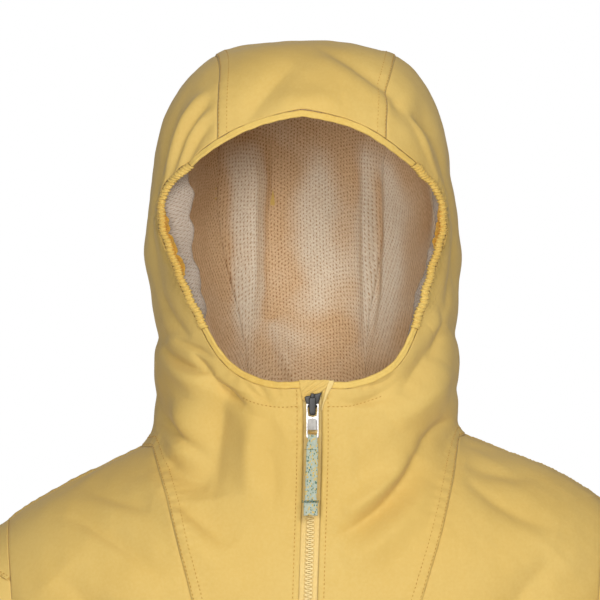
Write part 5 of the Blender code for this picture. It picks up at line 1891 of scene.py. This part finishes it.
@dataclass
class Zip:
    """Tapes, teeth, bottom stop, guard and slider of the front zip."""

    finishes: Finishes
    tape_half: float = 0.0125
    tape_depth: float = 0.0021
    pitch: float = 0.003
    tooth: tuple[float, float, float] = (0.0036, 0.0016, 0.0019)
    slider_z: float = 0.033

    def line(self, z: float, out: float = 0.0) -> Array:
        """A place on the zip's line, out from the cloth, as it hangs."""
        return FORM.stance(FORM.facing(0.0, z) + np.array((0.0, -out, 0.0)))

    def ribbon(self, name: str, left: Curve2, right: Curve2, out: Callable[[Array, Array], Array], z: Array,
               columns: int, cloth: float, finish: Material, nodes: Sequence[str], slot: str) -> None:
        """A strip of cloth between two edges, at a height over the form."""
        share = np.linspace(0, 1, columns)[None]
        x = left(z)[:, None] * (1 - share) + right(z)[:, None] * share
        points = FORM.facing(x, z[:, None] + 0 * share)
        normal = FORM.normal(points)
        over = out(share + 0 * x, z[:, None] + 0 * share)
        grid = raised(points, normal, over)
        tailor(name, [grid], cloth, finish, *nodes, slot=slot, held="stretched")

    def build_tapes(self) -> None:
        """The two tapes, their woven edge beside the teeth."""
        z = np.linspace(CUT.zip_bottom_z, 0.047, 190)
        ends = (CUT.zip_bottom_z, 0.047)
        for name, side in SIDES:
            edges = sorted((side * 0.0012, side * self.tape_half))
            self.ribbon(f"zip_tape_cloth_{name}", Curve2(ends, (edges[0],) * 2), Curve2(ends, (edges[1],) * 2),
                        lambda u, zz: -self.tape_depth + 0.00018 * np.sin(u * TURN * 3), z, 26, 0.0008,
                        self.finishes.tape, [f"zip_tape_{name}"], "tape")

    def build_teeth(self) -> None:
        """The teeth: one moulded tooth, copied up both sides by turns."""
        tooth = Bench.block("tooth", self.tooth, (0, 0, 0))
        Bench.pick(tooth, lambda co: co.x > 0)
        bpy.ops.transform.resize(value=(1.0, 0.85, 0.52))
        bpy.ops.mesh.extrude_region_move(TRANSFORM_OT_translate={"value": (0.0008, 0, 0)})
        bpy.ops.transform.resize(value=(1.0, 0.8, 1.9))
        Bench.done()
        Bench.soften(tooth, 0.00022, smooth=0, segments=1)
        corners = np.array([v.co for v in tooth.data.vertices])
        faces = [list(f.vertices) for f in tooth.data.polygons]
        bpy.data.objects.remove(tooth)
        points, made = [], []
        z = CUT.zip_bottom_z + 0.004
        turn = 1
        while z < self.slider_z - 0.0075:
            place = self.line(z, -0.0006)
            flip = np.array((turn, 1.0, 1.0))
            first = len(points)
            points += [tuple(c * flip + place + (-turn * 0.0011, 0, 0)) for c in corners]
            made += [[first + i for i in (f if turn > 0 else f[::-1])] for f in faces]
            z, turn = z + self.pitch / 2, -turn
        mesh = bpy.data.meshes.new("zip_teeth")
        mesh.from_pydata(points, [], made)
        piece = new_object("zip_teeth", mesh)
        Bench.finish(piece, self.finishes.teeth, GARMENT, "tape", ["zip_chain"])

    def build_stop(self) -> None:
        """The moulded stop at the zip's lower end."""
        place = self.line(CUT.zip_bottom_z + 0.0015, 0.0004)
        stop = Bench.block("zip_end_stop", (0.0078, 0.0016, 0.0042), place)
        Bench.pick(stop, lambda co: co.z < place[2])
        bpy.ops.transform.resize(value=(0.85, 1.0, 1.0))
        Bench.done()
        Bench.soften(stop, 0.0004)
        Bench.finish(stop, self.finishes.teeth, GARMENT, "tape", ["zip_stop"])

    def build_guard(self) -> None:
        """The guard turned over the slider's top, and the tape's end beside it."""
        ends = (0.0345, 0.0496)

        def folds_over(u: Array, z: Array) -> Array:
            """Slanting folds over the guard."""
            slant = (z - ends[0]) / 0.0165 - 0.95 * u
            ridge = sum(size * np.exp(-(((slant - at) / 0.085) ** 2)) for at, size in
                        ((-0.42, 0.0006), (-0.12, 0.0011), (0.16, 0.0008), (0.42, 0.0011), (0.7, 0.0007)))
            edge = np.sin(np.pi * np.clip(u, 0.02, 0.98)) ** 0.5
            return 0.0008 + ridge * (0.4 + 0.6 * edge)

        z = np.linspace(*ends, 46)
        self.ribbon("zip_guard", Curve2((0.0345, 0.04, 0.0512), (-0.007, -0.0082, -0.0096)),
                    Curve2((0.0345, 0.04, 0.0512), (-0.0058, 0.0054, 0.0126)), folds_over, z, 44, 0.0006,
                    self.finishes.shell, ["zip_garage"], "shell")
        z = np.linspace(0.027, 0.0492, 40)
        self.ribbon("tape_end", Curve2((0.027, 0.038, 0.0492), (0.0066, 0.0088, 0.0116)),
                    Curve2((0.027, 0.038, 0.0492), (0.0074, 0.0112, 0.0162)),
                    lambda u, zz: 0.001 + 0.0004 * np.sin(np.pi * u), z, 10, 0.0012, self.finishes.tape, [],
                    "tape")

    def build_slider(self) -> None:
        """The slider: a winged body and a bridge with a rounded lower end."""
        low, high = (np.array(corner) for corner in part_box("zip_slider"))
        middle, size = (low + high) / 2, high - low
        plate = Bench.block("slider_body", (size[0] * 0.98, 0.0026, 0.0098),
                            (middle[0], high[1] - 0.0014, middle[2] + 0.0012))
        Bench.pick(plate, lambda co: co.z < middle[2])
        bpy.ops.transform.resize(value=(0.62, 1.0, 1.0))
        Bench.pick(plate, lambda co: co.z > middle[2] and co.x > middle[0])
        bpy.ops.transform.translate(value=(0.0008, 0, 0.0017))
        Bench.pick(plate, lambda co: co.z > middle[2] and co.x < middle[0])
        bpy.ops.transform.translate(value=(0.0, 0, -0.0016))
        Bench.done()
        Bench.soften(plate, 0.0006)
        bridge = Bench.block("slider_bridge", (0.005, size[1] * 0.62, 0.0125),
                             (middle[0], low[1] + size[1] * 0.32, middle[2] - 0.0022))
        Bench.pick(bridge, lambda co: co.z < middle[2])
        bpy.ops.mesh.extrude_region_move(TRANSFORM_OT_translate={"value": (0, 0, -0.001)})
        bpy.ops.transform.resize(value=(0.55, 0.7, 1.0))
        Bench.done()
        Bench.soften(bridge, 0.0008)
        lug = Bench.block("slider_lug", (0.003, 0.002, 0.004), (middle[0], low[1] + 0.0016, high[2] - 0.002))
        Bench.soften(lug, 0.0006)
        piece = Bench.join("slider", [plate, bridge, lug])
        Bench.finish(piece, self.finishes.enamel, GARMENT, "slider", ["zip_slider"])

    def build(self) -> None:
        """Make the whole zip but its pull."""
        self.build_tapes()
        self.build_teeth()
        self.build_stop()
        self.build_guard()
        self.build_slider()


@dataclass
class Pull:
    """The slider's pull: a bright ladder, and a loop of webbing sewn at its end."""

    finishes: Finishes
    rail: float = 0.0012
    thick: float = 0.0013
    webbing_half: float = 0.0044
    ply: float = 0.0009
    block_height: float = 0.0112
    thread: Thread = field(default_factory=lambda: Thread(0.0013, 0.0011, 0.00022))

    def __post_init__(self) -> None:
        """Read the pull's and webbing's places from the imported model."""
        self.low, self.high = (np.array(c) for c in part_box("zip_pull"))
        self.web_low, self.web_high = (np.array(c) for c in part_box("zip_webbing"))
        self.middle = (self.low + self.high) / 2

    def build_ladder(self) -> None:
        """Rails, crossbars and hooks, cut from one plate, and the plate in its window."""
        width, length = self.high[0] - self.low[0], self.high[2] - self.low[2]
        top = self.high[2]
        Bench.clear()
        bpy.ops.mesh.primitive_grid_add(x_subdivisions=3, y_subdivisions=6, size=1)
        ladder = bpy.context.object
        bm = bmesh.new()
        bm.from_mesh(ladder.data)
        rail = self.rail / width
        across = {0: -0.5, 1: -0.5 + rail, 2: 0.5 - rail, 3: 0.5}
        down = (0.0, 0.01, 0.0111, 0.0196, 0.0202, length - 0.0012, length)
        for v in bm.verts:
            column, row = round((v.co.x + 0.5) * 3), 6 - round((v.co.y + 0.5) * 6)
            v.co = (self.middle[0] + across[column] * width, self.middle[1], top - down[row])
        window = [f for f in bm.faces if abs(f.calc_center_median().x - self.middle[0]) < width * 0.2
                  and not any(low < top - f.calc_center_median().z < high
                              for low, high in ((0.01, 0.0111), (length - 0.0012, length)))]
        bmesh.ops.delete(bm, geom=window, context="FACES")
        bm.to_mesh(ladder.data)
        bm.free()
        plate = ladder.modifiers.new("plate", "SOLIDIFY")
        plate.thickness, plate.offset = self.thick, 0.0
        Bench.soften(ladder, 0.00035)
        bars = [ladder]
        for side in (-1, 1):
            hook = Bench.block("hook", (0.0018, 0.0011, 0.0012),
                               (self.middle[0] + side * (width / 2 - 0.0013), self.middle[1], top - 0.0008))
            Bench.pick(hook, lambda co, s=side: (co.x - self.middle[0]) * s < width / 2 - 0.0014)
            bpy.ops.transform.resize(value=(1.0, 0.7, 0.7))
            Bench.done()
            Bench.soften(hook, 0.0003)
            bars.append(hook)
        piece = Bench.join("pull_ladder", bars)
        Bench.clear()
        piece.select_set(True)
        bpy.ops.object.transform_apply(location=True, rotation=True, scale=True)
        Bench.finish(piece, self.finishes.metal, PULL, "metal", ["zip_pull"])
        insert = Bench.block("pull_insert", (width - 2 * self.rail + 0.0002, self.thick * 0.6, 0.009),
                             (self.middle[0], self.middle[1] + 0.0001, top - 0.0153))
        Bench.pick(insert, lambda co: co.y < self.middle[1])
        bpy.ops.transform.resize(value=(0.92, 1.0, 0.92))
        Bench.done()
        Bench.soften(insert, 0.0002, smooth=0)
        Bench.finish(insert, self.finishes.insert, PULL, "metal")

    def build_webbing(self) -> None:
        """Webbing that runs through the ladder, back down, and up again in a sewn block."""
        top, end = self.web_high[2] - 0.0014, self.web_low[2]
        front, back = self.middle[1] - 0.0004, self.middle[1] + 0.0014
        turn = np.linspace(0, math.pi, 9)[1:-1]
        path = [(back, end + 0.0006), *[(back, z) for z in np.linspace(end + 0.002, top, 30)]]
        path += [((front + back) / 2 + math.cos(a) * (back - front) / 2, top + 0.0011 * math.sin(a)) for a in turn]
        path += [(front, z) for z in np.linspace(top, end + 0.0008, 46)]
        outer = front - 0.0015
        path += [((front + outer) / 2 + math.cos(a) * (front - outer) / 2, end + 0.0008 - 0.0007 * math.sin(a))
                 for a in turn]
        path += [(outer, z) for z in np.linspace(end + 0.0008, end + self.block_height, 16)]
        path = np.array(path)
        share = np.linspace(-1, 1, 11)[None]
        run = unit(np.gradient(path, axis=0))
        outward = np.stack([-run[:, 1], run[:, 0]], -1)
        low = self.web_high[2] - path[:, 1]
        half = self.webbing_half * (0.8 + 0.2 * ease((low - 0.004) / 0.006))
        block = ease((end + self.block_height + 0.0006 - path[:, 1]) / 0.0012)
        half = half * (1 + 0.16 * block)
        lean = -0.0014 * ease(low / 0.06)
        x = self.middle[0] + lean[:, None] + half[:, None] * share
        edge = 0.00012 * np.sin(low[:, None] * TURN / 0.0016)
        wave = 0.00035 * np.sin(low * TURN / 0.031)[:, None] * (1 + 0 * share)
        y = path[:, :1] + 0 * share + wave * (low[:, None] > 0.008)
        points = np.stack([x + edge * (np.abs(share) > 0.9), y, path[:, 1:] + 0 * share], -1)
        normal = np.stack([0 * x, outward[:, :1] + 0 * share, outward[:, 1:] + 0 * share], -1)
        strap = Skin(self.unhung(points), normal, cloth_uv(points))
        piece = sew("pull_strap", [strap], self.ply, self.finishes.webbing)
        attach(piece, PULL)
        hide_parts("zip_webbing")
        log.info("pull_strap: cut %.4f x %.4f m", 2 * self.webbing_half, lengths_along(points, 0)[-1].mean())
        tack_z = end + self.block_height
        tack = np.stack([self.middle[0] - 0.0014 + np.linspace(-0.0068, 0.0068, 40),
                         np.full(40, outer - 0.0004), np.full(40, tack_z)], -1)
        rows = []
        for k, drop in enumerate((0.0, 0.0006, 0.0011)):
            wobble = 0.00025 * np.sin(np.arange(40) * 0.9 + k)
            rows.append((tack - (0, 0.0002 * k, drop) + np.stack([0 * wobble, 0 * wobble, wobble], -1),
                         np.tile((0.0, -1.0, 0.0), (40, 1))))
        span = tack[6:34] * (1, 1, 0) + (0, 0.0013, self.web_high[2] - 0.0112)
        rows.append((span, np.tile((0.0, -1.0, 0.0), (28, 1))))
        self.sew_plain("pull_tack", rows, self.finishes.tack)
        loop = np.stack([self.middle[0] + np.linspace(-0.003, 0.003, 16), np.full(16, front - 0.0004),
                         self.web_high[2] + 0.0003 + 0.0004 * np.sin(np.arange(16) * 1.3)], -1)
        loops = [(loop + (0, 0.0001 * k, 0.0006 * k), np.tile((0.0, -1.0, 0.0), (16, 1))) for k in range(3)]
        self.sew_plain("pull_thread_loop", loops, self.finishes.thread)

    @staticmethod
    def unhung(hung: Array) -> Array:
        """Places that the garment's stance would move to where these already hang."""
        start = hung * 2 - FORM.stance(hung)
        for _ in range(3):
            start = start + hung - FORM.stance(start)
        return start

    def sew_plain(self, name: str, rows: Sequence[Run], finish: Material) -> None:
        """Sew rows of thread that already hang in their place."""
        rows = [(self.unhung(points), normal) for points, normal in rows]
        self.thread.sew_rows(name, rows, finish, slot="webbing", body=PULL)

    def build(self) -> None:
        """Make the pull."""
        self.build_ladder()
        self.build_webbing()


# ---------------------------------------------------------------- studio
@dataclass(frozen=True)
class Studio:
    """A pale floor, soft light from in front, and the camera."""

    eye: tuple[float, float, float] = (-0.0018, -3.0, 0.109)
    lens: float = 230.8
    sensor: float = 36.0
    floor_gap: float = 0.004

    def build_floor(self, finish: Material) -> None:
        """The floor, just below the lowest cuff."""
        bpy.ops.object.select_all(action="DESELECT")
        bpy.ops.mesh.primitive_plane_add(size=14, location=(0, 0, CAD_BOUNDS[0][2] - self.floor_gap))
        floor = bpy.context.object
        floor.name = "floor"
        floor.data.materials.append(finish)

    def build_world(self) -> None:
        """White all round, and softer as a light than as a backdrop."""
        world = bpy.data.worlds.new("studio")
        bpy.context.scene.world = world
        world.use_nodes = True
        tree = world.node_tree
        tree.nodes.clear()
        fill, seen = tree.nodes.new("ShaderNodeBackground"), tree.nodes.new("ShaderNodeBackground")
        fill.inputs["Color"].default_value, fill.inputs["Strength"].default_value = (1.0, 0.985, 0.965, 1), 0.24
        seen.inputs["Color"].default_value, seen.inputs["Strength"].default_value = (1, 1, 1, 1), 1.0
        mix, path = tree.nodes.new("ShaderNodeMixShader"), tree.nodes.new("ShaderNodeLightPath")
        out = tree.nodes.new("ShaderNodeOutputWorld")
        tree.links.new(path.outputs["Is Camera Ray"], mix.inputs[0])
        tree.links.new(fill.outputs[0], mix.inputs[1])
        tree.links.new(seen.outputs[0], mix.inputs[2])
        tree.links.new(mix.outputs[0], out.inputs[0])

    def lamp(self, name: str, place: Sequence[float], target: Sequence[float], size: float, power: float) -> None:
        """A soft square lamp."""
        data = bpy.data.lights.new(name, "AREA")
        data.shape, data.size, data.energy = "SQUARE", size, power
        light = bpy.data.objects.new(name, data)
        bpy.context.scene.collection.objects.link(light)
        light.location = place
        light.rotation_euler = (Vector(target) - Vector(place)).to_track_quat("-Z", "Y").to_euler()

    def build(self, finish: Material) -> None:
        """Set the whole studio."""
        camera = bpy.data.objects.new("camera", bpy.data.cameras.new("camera"))
        bpy.context.scene.collection.objects.link(camera)
        camera.location, camera.rotation_euler = self.eye, (math.pi / 2, 0, 0)
        camera.data.lens, camera.data.sensor_width = self.lens, self.sensor
        bpy.context.scene.camera = camera
        bpy.context.scene.view_settings.view_transform = "Standard"
        self.build_floor(finish)
        self.build_world()
        self.lamp("key", (0.66, -2.6, 0.8), (0, 0, 0.1), 0.8, 31)
        self.lamp("front", (-0.58, -3.0, 0.24), (0, 0, 0.1), 0.8, 34)
        self.lamp("top", (0.3, -0.6, 2.2), (0, 0, 0.1), 1.2, 5)


def main() -> None:
    """Build the garment and its studio."""
    logging.basicConfig(level=logging.INFO, format="%(name)s %(message)s")
    finishes, lines = Finishes(), Lines()
    Hood(lines, finishes).build()
    Body(lines, finishes).build()
    FaceRoll(finishes).build()
    Sleeve(lines, finishes).build()
    Zip(finishes).build()
    Pull(finishes).build()
    Studio().build(finishes.floor)


if __name__ == "__main__":
    main()
